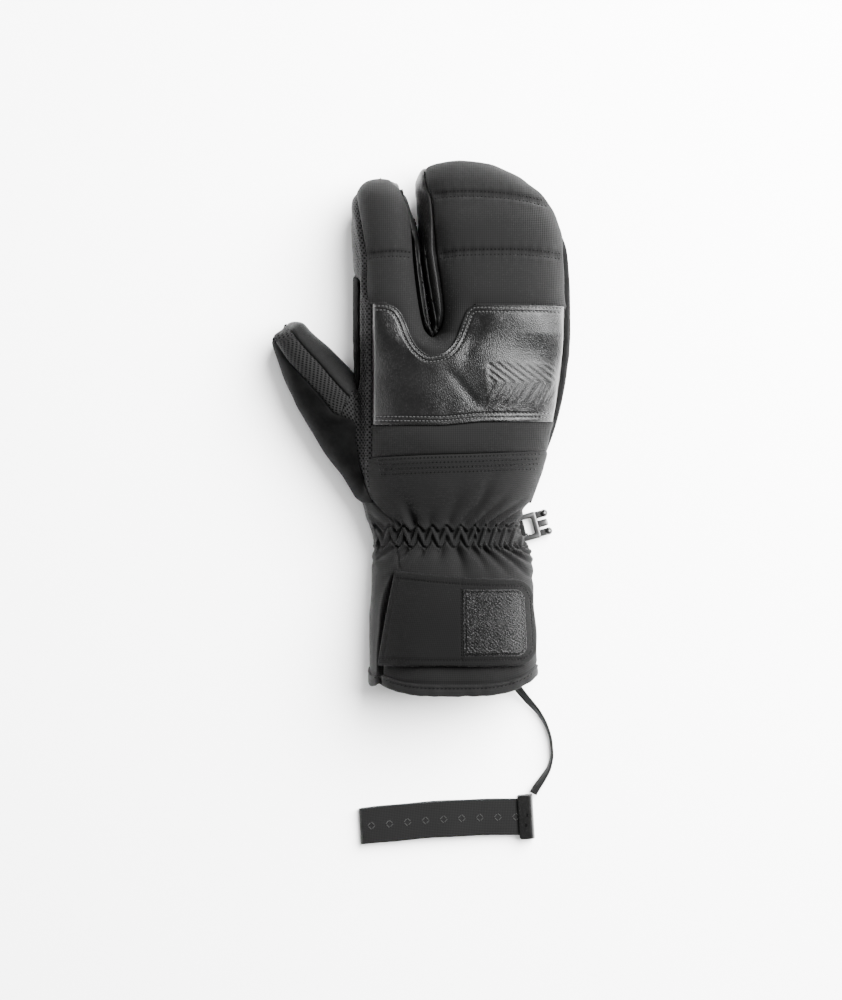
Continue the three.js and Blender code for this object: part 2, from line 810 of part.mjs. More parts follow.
function hemRing(grow, start, end) {
  const rings = [start, end].map((offset) =>
    angles(plainCount).map((angle) => {
      const y = hemY(angle) + offset;
      return sectionPoint(bodySection(y), angle, y, {
        side: grow,
        top: grow,
        palm: grow,
      });
    }),
  );
  return solid(loft(rings));
}
const binding = hemRing(bindingStep, 0, bindingWidth)
  .subtract(hemRing(-gauntletWall - bindingStep, -2, bindingWidth + 2))
  .subtract(floorBlock)
  .subtract(vent);

// The strap lies on the gauntlet's back: a place on it is an arc length from the left side and a y
const strapMiddleY = -0.528 * gauntletLength;
const arcSteps = 180;
const arcTable = (() => {
  const section = bodySection(strapMiddleY);
  const table = [{ arc: 0, angle: Math.PI, x: section.left }];
  let last = sectionPoint(section, Math.PI, 0);
  for (let i = 1; i <= arcSteps + 20; i++) {
    const angle = Math.PI * (1 - i / arcSteps);
    const point = sectionPoint(section, angle, 0);
    const arc = table[i - 1].arc + point.distanceTo(last);
    table.push({ arc, angle, x: point.x });
    last = point;
  }
  return table;
})();

function angleAtArc(arc) {
  const i = Math.max(1, arcTable.findIndex((row) => row.arc >= arc));
  const [a, b] = [arcTable[i - 1], arcTable[i]];
  return THREE.MathUtils.lerp(a.angle, b.angle, (arc - a.arc) / (b.arc - a.arc));
}
const arcAtX = (x) => arcTable.find((row) => row.x >= x).arc;

function onGauntlet(arc, y, lift) {
  const angle = angleAtArc(arc);
  return sectionPoint(bodySection(y), angle, y, {
    side: lift,
    top: lift,
    palm: lift,
  });
}

// A cloth patch on the gauntlet. across and up run from 0 to 1; edges gives its four sides.
function patch({ columns, rows, low, high, edges }) {
  const sheet = (lift) =>
    Array.from({ length: rows + 1 }, (_, j) =>
      Array.from({ length: columns + 1 }, (_, i) => {
        const { arc, y } = edges(i / columns, j / rows);
        return onGauntlet(arc, y, lift);
      }),
    );
  const under = sheet(low);
  const over = sheet(high);
  const rings = Array.from({ length: columns + 1 }, (_, i) => [
    ...under.map((row) => row[i]),
    ...over.map((row) => row[i]).reverse(),
  ]);
  return solid(loft(rings));
}

// Half the height that a rounded end still has at a distance from the end
const roundedHalf = (half, corner, distance) =>
  half - corner + Math.sqrt(Math.max(corner ** 2 - Math.max(corner - distance, 0) ** 2, 0));

const strapTopLeft = arcAtX(-0.345 * cuffWidth);
const strapBottomLeft = arcAtX(-0.425 * cuffWidth);
const strapEnd = arcAtX(0.46 * cuffWidth);
const strapTilt = 5; // the sewn end stands this much nearer the wrist than the free end
const endShare = (x) => 1 - (1 - x) ** 1.4; // closer columns towards the rounded end

function strapEdges(across, up) {
  const left = THREE.MathUtils.lerp(strapBottomLeft, strapTopLeft, up);
  const arc = THREE.MathUtils.lerp(left, strapEnd, endShare(across));
  const half = roundedHalf(strapHeight / 2, strapCorner, strapEnd - arc);
  const middle =
    strapMiddleY + (up * strapTilt * (strapEnd - arc)) / (strapEnd - left);
  return { arc, y: middle + (up * 2 - 1) * half };
}
const strap = patch({
  columns: 32,
  rows: 3,
  low: restGap,
  high: restGap + strapThickness,
  edges: strapEdges,
});

const padLeft = arcAtX(0.051 * cuffWidth);
const padCorner = 6;
const padBase = restGap + strapThickness + seamGap;
const pad = patch({
  columns: 12,
  rows: 3,
  low: padBase,
  high: padBase + padThickness,
  edges: (across, up) => {
    const arc = padLeft + padLength * endShare(across);
    const half = roundedHalf(padHeight / 2, padCorner, padLeft + padLength - arc);
    return { arc, y: strapMiddleY + (up * 2 - 1) * half };
  },
});

// The clip that pairs the mitts, held by a cloth tab at the wrist's side
const clipPlace = new THREE.Vector3(
  wristRows[1].right * wristWidth + clipReach,
  clipAbove,
  clipThickness / 2 + seamGap + tabThickness + 0.3,
);
const clipTurn = THREE.MathUtils.degToRad(15);

function roundedBox(left, right, bottom, top, radius) {
  const shape = new THREE.Shape();
  shape.absarc(right - radius, top - radius, radius, 0, Math.PI / 2);
  shape.absarc(left + radius, top - radius, radius, Math.PI / 2, Math.PI);
  shape.absarc(left + radius, bottom + radius, radius, Math.PI, 1.5 * Math.PI);
  shape.absarc(right - radius, bottom + radius, radius, 1.5 * Math.PI, 2 * Math.PI);
  return shape;
}

function plate(shape, thickness, middleZ) {
  const geometry = new THREE.ExtrudeGeometry(shape, {
    depth: thickness,
    bevelEnabled: false,
    curveSegments: 2,
  });
  return geometry.translate(0, 0, middleZ - thickness / 2);
}
const atClip = (geometry) =>
  geometry.rotateZ(clipTurn).translate(clipPlace.x, clipPlace.y, clipPlace.z);

const holdBar = 2.2; // the bar that the tab goes round
const frameLeft = -clipSlot - holdBar;
const slotHalf = clipWidth / 2 - 2.2;

function clipGeometry() {
  const frame = roundedBox(frameLeft, clipBar, -clipWidth / 2, clipWidth / 2, 1.6);
  frame.holes.push(roundedBox(-clipSlot, 0, -slotHalf, slotHalf, 1));
  const pieces = [solid(atClip(plate(frame, clipThickness, 0)))];
  for (const side of [-1, 0, 1]) {
    const middle = side * (clipWidth / 2 - prongWidth / 2 - 0.4);
    const radius = side ? prongWidth / 2 - 0.1 : 0.3;
    const prong = roundedBox(
      clipBar - 1,
      clipBar + prongLength,
      middle - prongWidth / 2,
      middle + prongWidth / 2,
      radius,
    );
    pieces.push(solid(atClip(plate(prong, clipThickness * 0.7, 0))));
  }
  return geometryOf(join(pieces));
}

// A flattened loop of tape round the clip's bar, seen along the bar
function tabGeometry() {
  const room = clipThickness / 2 + seamGap;
  const left = frameLeft - seamGap;
  const right = -clipSlot + seamGap;
  const outer = roundedBox(
    left - tabThickness - tabTail,
    right + tabThickness,
    -room - tabThickness,
    room + tabThickness,
    tabThickness,
  );
  outer.holes.push(roundedBox(left, right, -room, room, 0.3));
  const geometry = plate(outer, tabWidth, 0).rotateX(Math.PI / 2);
  return atClip(geometry);
}

// The leash: a flat elastic tape that lies on the floor, standing on edge in its bend.
// Its route starts at the gauntlet's lining. x, y and z in millimetres, turn: 0 flat, 90 on edge.
const leashRoute = [
  { x: 23, y: -60, z: 5.4, turn: 0 },
  { x: 26, y: -66, z: 5.6, turn: 0 },
  { x: 30.4, y: -74, z: 6.4, turn: 5 },
  { x: 35, y: -81, z: 6.6, turn: 12 },
  { x: 41, y: -88.6, z: 4.6, turn: 30 },
  { x: 48.4, y: -97.2, z: 2.6, turn: 60 },
  { x: 52.8, y: -105, z: 2.4, turn: 80 },
  { x: 55.1, y: -113, z: 2.4, turn: 90 },
  { x: 55.6, y: -120, z: 2.4, turn: 85 },
  { x: 54.2, y: -127, z: 2.4, turn: 70 },
  { x: 50.6, y: -133.4, z: 2.6, turn: 45 },
  { x: 47, y: -138.6, z: 3, turn: 20 },
  { x: 45, y: -142, z: 3.2, turn: 10 },
];
const keeperMiddle = new THREE.Vector2(43.4, -154.8); // the loop's sewn end
const bandTurn = THREE.MathUtils.degToRad(3.4);
const leashStep = 4.5;

function leashGeometry() {
  const line = new THREE.CatmullRomCurve3(
    leashRoute.map(({ x, y, z }) => new THREE.Vector3(x, y, z)),
  );
  const turns = column(
    leashRoute.map((row, i) => ({ at: i / (leashRoute.length - 1), turn: row.turn })),
    "at",
    "turn",
  );
  const steps = Math.round(line.getLength() / leashStep);
  const up = new THREE.Vector3(0, 0, 1);
  const rings = Array.from({ length: steps + 1 }, (_, i) => {
    const t = i / steps;
    const centre = line.getPoint(t);
    const along = line.getTangent(t);
    const flat = new THREE.Vector3().crossVectors(along, up).normalize();
    const wide = flat.clone().applyAxisAngle(along, THREE.MathUtils.degToRad(turns(t)));
    const thin = new THREE.Vector3().crossVectors(wide, along).normalize();
    return angles(8).map((angle) =>
      centre
        .clone()
        .addScaledVector(wide, (tapeWidth / 2) * Math.sign(Math.cos(angle)) * Math.abs(Math.cos(angle)) ** 0.6)
        .addScaledVector(thin, (tapeThickness / 2) * Math.sin(angle)),
    );
  });
  return loft(rings);
}

// The wrist loop: elastic webbing doubled flat, with its ends pressed together in the keeper
const bandFold = bandThickness + bandGap / 2; // outer radius of the fold at its far end
const bandEnd = 2 * bandThickness + 2 * restGap; // height of the pressed end
const bandBow = 7.4; // where the top layer's curve is drawn to, above its middle

function bandOutline(grow) {
  const run = bandLength - bandFold;
  const low = grow;
  const high = bandEnd - grow;
  const shape = new THREE.Shape();
  shape.moveTo(0, low);
  shape.lineTo(run - bandEnd / 2, low);
  shape.lineTo(run - grow, low + 0.2);
  shape.lineTo(run - grow, high - 0.2);
  shape.lineTo(run - bandEnd / 2, high);
  const top = 2 * bandFold - grow;
  shape.bezierCurveTo(0.8 * run, high + 0.2, 0.4 * run, bandBow - grow, 0, top);
  shape.absarc(0, bandFold, bandFold - grow, Math.PI / 2, 1.5 * Math.PI, false);
  return shape;
}

function bandGeometry() {
  const shape = bandOutline(0);
  shape.holes.push(bandOutline(bandThickness));
  const geometry = new THREE.ExtrudeGeometry(shape, {
    depth: bandWidth,
    bevelEnabled: false,
    curveSegments: 12,
  });
  // Stand the outline up, raise the end that the keeper holds, then lay it in place
  const rise = keeperThickness + seamGap;
  return geometry
    .rotateX(Math.PI / 2)
    .translate(bandFold - bandLength, bandWidth / 2, 0)
    .rotateY(-Math.atan(rise / bandLength))
    .translate(0, 0, rise)
    .rotateZ(bandTurn)
    .translate(keeperMiddle.x, keeperMiddle.y, 0);
}

// The keeper is a tab of leather folded over the loop's sewn end
function keeperGeometry() {
  const height = bandEnd + 2 * (keeperThickness + seamGap);
  const length = bandWidth + 2 * keeperOverhang;
  const shape = new THREE.Shape();
  const r = height / 2;
  const inner = r - keeperThickness;
  shape.moveTo(0, 0);
  shape.lineTo(keeperWidth - r / 2, 0);
  shape.absellipse(keeperWidth - r / 2, r, r / 2 + 1, r, -Math.PI / 2, Math.PI / 2);
  shape.lineTo(0, height);
  shape.lineTo(0, height - keeperThickness);
  shape.lineTo(keeperWidth - r / 2, height - keeperThickness);
  shape.absellipse(keeperWidth - r / 2, r, r / 2, inner, Math.PI / 2, -Math.PI / 2, true);
  shape.lineTo(0, keeperThickness);
  return new THREE.ExtrudeGeometry(shape, {
    depth: length,
    bevelEnabled: false,
    curveSegments: 8,
  })
    .rotateX(Math.PI / 2)
    .translate(-keeperWidth + 1, length / 2, 0)
    .rotateZ(bandTurn)
    .translate(keeperMiddle.x, keeperMiddle.y, 0);
}

const cloth = { color: 0x3a3a3b, roughness: 0.85 };
const leather = { color: 0x2c2c2d, roughness: 0.45 };
const perforated = { color: 0x333334, roughness: 0.7 };
const suede = { color: 0x1d1d1e, roughness: 0.95 };
const webbing = { color: 0x2b2b2c, roughness: 0.9 };
const plastic = { color: 0x1a1a1b, roughness: 0.15 };
const looks = {
  finger_back: cloth,
  knuckle_panel: leather,
  hand_back: cloth,
  finger_fourchette: leather,
  index_side: perforated,
  thumb_back: perforated,
  thumb_side: leather,
  thumb_palm: suede,
  palm: suede,
};

const mitt = new THREE.Group();
function addMesh(name, geometry, look) {
  const material = new THREE.MeshStandardMaterial({ metalness: 0, ...look });
  const mesh = new THREE.Mesh(geometry, material);
  mesh.name = name;
  mitt.add(mesh);
  return mesh;
}
for (const [name, piece] of Object.entries(handPieces))
  addMesh(name, geometryOf(piece), looks[name]);
addMesh("gauntlet", geometryOf(gauntlet), cloth);
addMesh("cuff_binding", geometryOf(binding), webbing);
addMesh("wrist_strap", geometryOf(strap), cloth);
addMesh("strap_grip_pad", geometryOf(pad), leather);
addMesh("glove_clip", clipGeometry(), plastic);
addMesh("clip_tab", tabGeometry(), webbing);
addMesh("wrist_band", bandGeometry(), webbing);
addMesh("band_keeper", keeperGeometry(), leather);

// The origin is under the middle of the mitt and its wrist loop; the leash tape doesn't count
const box = new THREE.Box3().setFromObject(mitt);
const centre = box.getCenter(new THREE.Vector3());
mitt.position.set(-centre.x, -centre.y, -box.min.z);
addMesh("leash_tape", leashGeometry(), webbing);

const part = new THREE.Group();
part.add(mitt);
export default part;
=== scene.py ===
import math
import bmesh
import bpy
import numpy as np
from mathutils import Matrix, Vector
from mathutils.bvhtree import BVHTree


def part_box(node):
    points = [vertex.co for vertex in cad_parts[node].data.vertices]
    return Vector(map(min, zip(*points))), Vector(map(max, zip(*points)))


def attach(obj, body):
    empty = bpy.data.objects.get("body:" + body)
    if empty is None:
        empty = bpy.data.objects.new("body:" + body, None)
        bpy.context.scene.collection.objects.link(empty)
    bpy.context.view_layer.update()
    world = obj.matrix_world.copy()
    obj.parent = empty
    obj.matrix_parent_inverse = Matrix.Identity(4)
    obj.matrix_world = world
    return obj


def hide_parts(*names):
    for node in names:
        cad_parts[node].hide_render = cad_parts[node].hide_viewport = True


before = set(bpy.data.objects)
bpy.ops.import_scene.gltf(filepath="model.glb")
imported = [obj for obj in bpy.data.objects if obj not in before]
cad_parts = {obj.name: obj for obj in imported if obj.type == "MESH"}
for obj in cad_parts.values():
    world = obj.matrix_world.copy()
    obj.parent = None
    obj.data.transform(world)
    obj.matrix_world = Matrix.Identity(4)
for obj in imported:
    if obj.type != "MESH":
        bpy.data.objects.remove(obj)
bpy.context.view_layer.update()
print("frame loaded")

# Everything is worked out in millimetres in the mitt's own frame: x 0 is the gauntlet's middle line,
# y 0 the wrist crease, z 0 the surface it lies on. toRow then moves it into the frame, in metres.
mitt = {
    "handLength": 210.0,
    "gauntletLength": 85.0,
    "palmWidth": 119.0,
    "wristWidth": 85.0,
    "cuffWidth": 92.0,
    "palmHeight": 50.0,
    "wristHeight": 38.0,
    "cuffHeight": 44.0,
    "backPower": 2.4,
    "palmPower": 3.0,
    "levelShare": 0.42,
    "sink": 1.0,
    "edgeZ": 8.0,  # height of the seam round the palm's edge
}
thumb = {
    "length": 79.0, "width": 37.0, "height": 34.0, "at": 0.245, "across": -0.438, "turn": 31.2,
    "fillet": 2.5, "handUpTo": -38.0,  # where it runs into the hand, and the x it reaches to there
}
palmLow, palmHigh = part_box("palm")
bindingLow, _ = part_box("cuff_binding")
frameShift = np.array([
    palmHigh.x * 1000 - 0.544 * mitt["palmWidth"],
    bindingLow.y * 1000 + mitt["gauntletLength"],
    0.0,
])


def toRow(points):
    # from the mitt's millimetres to the frame's metres
    return (np.asarray(points, float) + frameShift) * 0.001


def table(columns, rows):
    # rows of numbers as a dictionary of named columns
    return dict(zip(columns.split(), np.array(rows, float).T))


def curveThrough(places, values):
    # Monotone cubic: the slope at a row is the harmonic mean of its neighbours' slopes
    x, v = np.asarray(places, float), np.asarray(values, float)
    slope = np.diff(v) / np.diff(x)
    product, total = slope[:-1] * slope[1:], slope[:-1] + slope[1:]
    inner = np.where(product > 0, 2 * product / np.where(product > 0, total, 1), 0)
    tangent = np.concatenate([slope[:1], inner, slope[-1:]])

    def at(place):
        place = np.clip(place, x[0], x[-1])
        i = np.clip(np.searchsorted(x, place, side="right") - 1, 0, len(x) - 2)
        span = x[i + 1] - x[i]
        t = (place - x[i]) / span
        return (
            v[i] * (1 + 2 * t) * (1 - t) ** 2
            + tangent[i] * span * t * (1 - t) ** 2
            + v[i + 1] * t * t * (3 - 2 * t)
            - tangent[i + 1] * span * t * t * (1 - t)
        )

    return at


def walkOf(line):
    # how far along a line of two-number points each point lies
    return np.pad(np.cumsum(np.hypot(*np.diff(line, axis=0).T)), (1, 0))


def smoothstep(low, high, x):
    # 0 below low, 1 above high, and t^2 (3 - 2 t) between them
    t = np.clip((x - low) / (high - low), 0, 1)
    return t * t * (3 - 2 * t)


def bell(d, width, power=2):
    # exp(-(d / width)^power): 1 where d is 0, fading out past the width
    return np.exp(-((d / width) ** power))


def smoothMax(a, b, width):
    # the larger of two heights, with a fillet where they differ by less than width
    h = np.maximum(width - np.abs(a - b), 0) / np.maximum(width, 1e-6)
    return np.maximum(a, b) + h * h * width / 4


def ripple(points, size, seed):
    # sum of five sine waves in fixed directions: soft unevenness between -1 and 1
    rng = np.random.default_rng(seed)
    total = np.zeros(len(points))
    for _ in range(5):
        direction = rng.normal(size=3)
        direction /= np.linalg.norm(direction)
        wave = 2 * np.pi * points @ direction / (size * rng.uniform(0.7, 1.5))
        total += np.sin(wave + rng.uniform(0, 6.28))
    return total / 3


# Outlines from above, as in the frame: shares of handLength past the crease and of palmWidth
indexStall = table("at left right rise", [
    [0.428, -0.456, 0.525, 1], [0.46, -0.456, 0.382, 1], [0.486, -0.459, 0.207, 1],
    [0.509, -0.459, 0.032, 1], [0.527, -0.461, -0.06, 1], [0.54, -0.461, -0.097, 1],
    [0.559, -0.461, -0.106, 1], [0.64, -0.461, -0.128, 1], [0.726, -0.461, -0.15, 1],
    [0.783, -0.468, -0.161, 1], [0.83, -0.47, -0.175, 0.98], [0.867, -0.47, -0.194, 0.94],
    [0.893, -0.465, -0.212, 0.88], [0.914, -0.454, -0.23, 0.78], [0.935, -0.431, -0.251, 0.6],
    [0.946, -0.406, -0.274, 0.42], [0.952, -0.373, -0.3, 0.25],
])
threeStall = table("at left right rise", [
    [0.428, -0.456, 0.525, 1], [0.46, -0.447, 0.532, 1], [0.486, -0.364, 0.539, 1],
    [0.509, -0.226, 0.541, 1], [0.527, -0.134, 0.543, 1], [0.54, -0.096, 0.544, 1],
    [0.559, -0.095, 0.544, 1], [0.64, -0.116, 0.543, 1], [0.726, -0.14, 0.535, 1],
    [0.789, -0.152, 0.521, 1], [0.83, -0.161, 0.5, 1], [0.862, -0.166, 0.479, 0.97],
    [0.893, -0.171, 0.445, 0.94], [0.914, -0.175, 0.415, 0.91], [0.935, -0.175, 0.366, 0.86],
    [0.956, -0.164, 0.318, 0.78], [0.977, -0.141, 0.242, 0.66], [0.99, -0.101, 0.189, 0.55],
    [0.996, -0.051, 0.129, 0.42], [1.0, -0.014, 0.074, 0.28],
])
handRows = table("at left right top lift", [
    [0.078, -0.415, 0.336, 0.83, 0.04], [0.11, -0.424, 0.371, 0.88, 0.03],
    [0.141, -0.431, 0.392, 0.92, 0.015], [0.183, -0.442, 0.417, 0.955, 0],
    [0.225, -0.447, 0.44, 0.98, 0], [0.266, -0.452, 0.461, 0.995, 0],
    [0.308, -0.454, 0.482, 1, 0], [0.366, -0.456, 0.505, 1, 0], [0.428, -0.456, 0.525, 0.985, 0],
])
fingerHeights = table("at top lift", [
    [0.428, 0.985, 0], [0.522, 0.955, 0], [0.627, 0.915, 0], [0.731, 0.875, 0.01],
    [0.836, 0.835, 0.03], [0.914, 0.8, 0.05], [1, 0.76, 0.07],
])
cuffRows = table("at left right top", [
    [-1.1, -0.497, 0.506, 1.01], [-0.812, -0.503, 0.506, 1.01], [-0.649, -0.503, 0.503, 1],
    [-0.519, -0.5, 0.497, 0.99], [-0.39, -0.491, 0.488, 0.97], [-0.227, -0.485, 0.485, 0.93],
    [-0.13, -0.491, 0.485, 0.9],
])
wristRows = table("at left right top", [
    [-0.065, -0.524, 0.512, 1.01], [0.013, -0.526, 0.468, 1], [0.091, -0.55, 0.442, 1.03],
])
thumbRows = table("along left right rise", [
    [-0.36, -0.37, 0.3, 0.8], [-0.27, -0.43, 0.5, 0.94], [-0.14, -0.427, 0.56, 1],
    [0, -0.453, 0.59, 1], [0.14, -0.471, 0.59, 1], [0.28, -0.476, 0.56, 1],
    [0.44, -0.473, 0.505, 0.99], [0.59, -0.436, 0.438, 0.96], [0.7, -0.407, 0.38, 0.93],
    [0.8, -0.371, 0.31, 0.89], [0.875, -0.342, 0.268, 0.83], [0.935, -0.306, 0.245, 0.74],
    [0.968, -0.2, 0.195, 0.56], [0.99, -0.085, 0.12, 0.36], [1, -0.04, 0.045, 0.2],
])

# Seams, with the same shares; the thumb's are shares of its own length and width
indexSeam = table("at across", [
    [0.04, -0.305], [0.055, -0.313], [0.097, -0.359], [0.157, -0.376], [0.261, -0.378],
    [0.611, -0.378], [0.632, -0.396], [0.663, -0.403], [0.721, -0.401], [0.794, -0.419],
    [0.864, -0.442], [0.914, -0.456], [0.985, -0.472],
])
slotLeft = table("at across", [
    [0.534, -0.097], [0.551, -0.126], [0.595, -0.146], [0.671, -0.166], [0.739, -0.178],
    [0.806, -0.186], [0.864, -0.202], [0.923, -0.241], [0.941, -0.277], [0.985, -0.315],
])
slotRight = table("at across", [
    [0.534, -0.097], [0.556, -0.06], [0.595, -0.047], [0.663, -0.059], [0.757, -0.083],
    [0.82, -0.091], [0.89, -0.103], [0.927, -0.126], [0.963, -0.134], [0.99, -0.122],
    [1.03, -0.088],
])
littleSeam = table("at across", [
    [0.2, 0.43], [0.261, 0.452], [0.313, 0.47], [0.392, 0.492], [0.457, 0.507], [0.548, 0.516],
    [0.616, 0.521], [0.684, 0.522], [0.739, 0.517], [0.822, 0.516], [0.875, 0.515], [0.95, 0.43],
])
knuckleTop = table("at across", [
    [0.611, -0.39], [0.612, -0.318], [0.607, -0.281], [0.595, -0.251], [0.568, -0.224],
    [0.525, -0.194], [0.495, -0.157], [0.478, -0.106], [0.482, -0.055], [0.499, -0.012],
    [0.526, 0.018], [0.566, 0.044], [0.597, 0.068], [0.608, 0.1], [0.608, 0.53],
])
knuckleBottom = table("at across", [
    [0.3, -0.378], [0.298, -0.074], [0.307, 0.147], [0.309, 0.479],
])
palmEdge = table("at across", [
    [0.388, -0.45], [0.41, -0.441], [0.43, -0.438], [0.67, -0.438], [0.69, -0.452], [0.7, -0.47],
])
heelSeam = table("at across", [
    [0.05, -0.335], [0.1, -0.372], [0.16, -0.415], [0.22, -0.439], [0.26, -0.449],
    [0.308, -0.4535], [0.34, -0.4525], [0.388, -0.45],
])
thumbInner = table("along across", [
    [-0.38, -0.246], [-0.21, -0.186], [-0.056, -0.076], [0.043, 0.014], [0.155, 0.143],
    [0.235, 0.024], [0.289, -0.062], [0.42, -0.095], [0.587, -0.166], [0.81, -0.257],
    [0.957, -0.268], [1.06, -0.3],
])
gauntletSeamBack = (0.213, 0.232)
gauntletSeamPalm = 0.097
handLength, palmWidth = mitt["handLength"], mitt["palmWidth"]


def planCurve(seam):
    # x of a seam as a function of y
    return curveThrough(seam["at"] * handLength, seam["across"] * palmWidth)


def crossCurve(seam):
    # y of a seam as a function of x
    return curveThrough(seam["across"] * palmWidth, seam["at"] * handLength)


indexSeamX, littleSeamX = planCurve(indexSeam), planCurve(littleSeam)
slotLeftX, slotRightX = planCurve(slotLeft), planCurve(slotRight)
palmEdgeX, heelSeamX = planCurve(palmEdge), planCurve(heelSeam)
knuckleTopY, knuckleBottomY = crossCurve(knuckleTop), crossCurve(knuckleBottom)

bodyTable = {
    "y": np.concatenate([
        cuffRows["at"] * mitt["gauntletLength"],
        wristRows["at"] * mitt["gauntletLength"],
        handRows["at"] * handLength,
    ]),
}
for side in ("left", "right"):
    bodyTable[side] = np.concatenate([
        cuffRows[side] * mitt["cuffWidth"],
        wristRows[side] * mitt["wristWidth"],
        handRows[side] * palmWidth,
    ])
bodyTable["top"] = np.concatenate([
    cuffRows["top"] * mitt["cuffHeight"],
    wristRows["top"] * mitt["wristHeight"],
    handRows["top"] * mitt["palmHeight"],
])
bodyTable["lift"] = np.concatenate([
    0 * cuffRows["at"], 0 * wristRows["at"] + 0.04 * mitt["palmHeight"],
    handRows["lift"] * mitt["palmHeight"],
])
parts = ("left", "right", "top", "lift")
bodyCurves = {key: curveThrough(bodyTable["y"], bodyTable[key]) for key in parts}


def bodySection(y):
    # the body's width, top and lift at a place along it
    return {key: bodyCurves[key](y) for key in parts}


def walkedShape(columns, count=900):
    # Columns resampled against the length walked along the outline, so that a tip stays round
    steps = sum(np.diff(columns[key]) ** 2 for key in columns)
    walk = np.concatenate([[0], np.cumsum(np.sqrt(steps))])
    places = np.linspace(0, walk[-1], count)
    return {key: curveThrough(walk, columns[key])(places) for key in columns}


def stallShape(rows):
    # The hand's own sections, then the stall's rows, then a closed tip
    base = np.array([0.03, 0.11, 0.183, 0.266, 0.366]) * handLength
    hand = bodySection(base)
    top = curveThrough(fingerHeights["at"], fingerHeights["top"])(rows["at"]) * mitt["palmHeight"]
    lift = curveThrough(fingerHeights["at"], fingerHeights["lift"])(rows["at"]) * mitt["palmHeight"]
    level = lift + mitt["levelShare"] * (top - lift)
    middle = (rows["left"][-1] + rows["right"][-1]) / 2 * palmWidth
    tip = rows["at"][-1] * handLength + 0.5
    return walkedShape({
        "y": np.concatenate([base, rows["at"] * handLength, [tip]]),
        "left": np.concatenate([hand["left"], rows["left"] * palmWidth, [middle]]),
        "right": np.concatenate([hand["right"], rows["right"] * palmWidth, [middle]]),
        "top": np.concatenate([hand["top"], level + (top - level) * rows["rise"], level[-1:]]),
        "lift": np.concatenate([hand["lift"], level - (level - lift) * rows["rise"], level[-1:]]),
    })


def thumbShape():
    # the thumb's rows in millimetres, with a closed tip
    level = mitt["levelShare"] * thumb["height"]
    along = thumbRows["along"] * thumb["length"]
    rise = thumbRows["rise"]
    middle = (thumbRows["left"][-1] + thumbRows["right"][-1]) / 2 * thumb["width"]
    return walkedShape({
        "y": np.concatenate([along, [along[-1] + 0.4]]),
        "left": np.concatenate([thumbRows["left"] * thumb["width"], [middle]]),
        "right": np.concatenate([thumbRows["right"] * thumb["width"], [middle]]),
        "top": np.concatenate([level + (thumb["height"] - level) * rise, [level]]),
        "lift": np.concatenate([level - level * rise, [level]]),
    })


shapeA, shapeB, shapeT = stallShape(indexStall), stallShape(threeStall), thumbShape()
thumbAngle = math.radians(thumb["turn"])
thumbAxis = np.array([-math.sin(thumbAngle), math.cos(thumbAngle)])
thumbSide = np.array([math.cos(thumbAngle), math.sin(thumbAngle)])
thumbRoot = np.array([thumb["across"] * palmWidth, thumb["at"] * handLength])


def thumbToPlan(points):
    # points hold across, along and height in the thumb's own frame
    plan = thumbRoot + points[..., :1] * thumbSide + points[..., 1:2] * thumbAxis
    return np.concatenate([plan, points[..., 2:]], -1)


def sectionOf(shape, y):
    # a shape's width, top and lift at y, read between its rows
    return {key: np.interp(y, shape["y"], shape[key]) for key in parts}


def levelOf(section):
    # the height at which a section is widest
    return section["lift"] + mitt["levelShare"] * (section["top"] - section["lift"])


def sectionPoint(section, angle, y, grow=0.0):
    # Superellipse: x = half cos^(2/p), z = height sin^(2/p); p differs above and below the level
    middle = (section["left"] + section["right"]) / 2
    half = (section["right"] - section["left"]) / 2 + grow
    level = levelOf(section)
    c, s = np.cos(angle), np.sin(angle)
    power = np.where(s > 0, mitt["backPower"], mitt["palmPower"])
    height = np.where(
        s > 0, section["top"] - level + grow, level - section["lift"] + mitt["sink"] + grow
    )
    x = middle + half * np.sign(c) * np.abs(c) ** (2 / power)
    z = level + height * np.sign(s) * np.abs(s) ** (2 / power)
    x, y, z = np.broadcast_arrays(x, y, np.maximum(z, 0.1))
    return np.stack([x, y, z], -1)


def angleAtX(section, x):
    # where the upper half of a section has this x
    middle = (section["left"] + section["right"]) / 2
    half = np.maximum((section["right"] - section["left"]) / 2, 1e-6)
    q = np.clip((x - middle) / half, -1, 1)
    return np.arccos(np.sign(q) * np.abs(q) ** (mitt["backPower"] / 2))


def angleAtZ(section, z):
    # how far below the level, as an angle, the section reaches this height
    level = levelOf(section)
    share = np.clip((level - z) / (level - section["lift"] + mitt["sink"]), 0, 0.999)
    return np.arcsin(share ** (mitt["palmPower"] / 2))


def upperZ(section, x):
    # z = level + height (1 - q^p)^(1/p), q the share of the half width
    middle = (section["left"] + section["right"]) / 2
    half = np.maximum((section["right"] - section["left"]) / 2, 1e-6)
    q = np.clip(np.abs(x - middle) / half, 0, 1)
    level = levelOf(section)
    power = mitt["backPower"]
    return level + (section["top"] - level) * (1 - q**power) ** (1 / power)


def thumbZ(x, y):
    plan = np.stack([x, y], -1) - thumbRoot
    across, along = plan @ thumbSide, plan @ thumbAxis
    section = sectionOf(shapeT, along)
    inside = (across > section["left"]) & (across < section["right"])
    inside &= (along > shapeT["y"][0]) & (along < shapeT["y"][-1])
    return np.where(inside, upperZ(section, across), 0)


def backZ(x, y):
    # the mitt's upper surface: both stalls and the thumb, joined with fillets
    a, b = upperZ(sectionOf(shapeA, y), x), upperZ(sectionOf(shapeB, y), x)
    hand = smoothMax(a, b, 3 * smoothstep(88, 112, y))
    return np.where(x < thumb["handUpTo"], smoothMax(hand, thumbZ(x, y), thumb["fillet"]), hand)


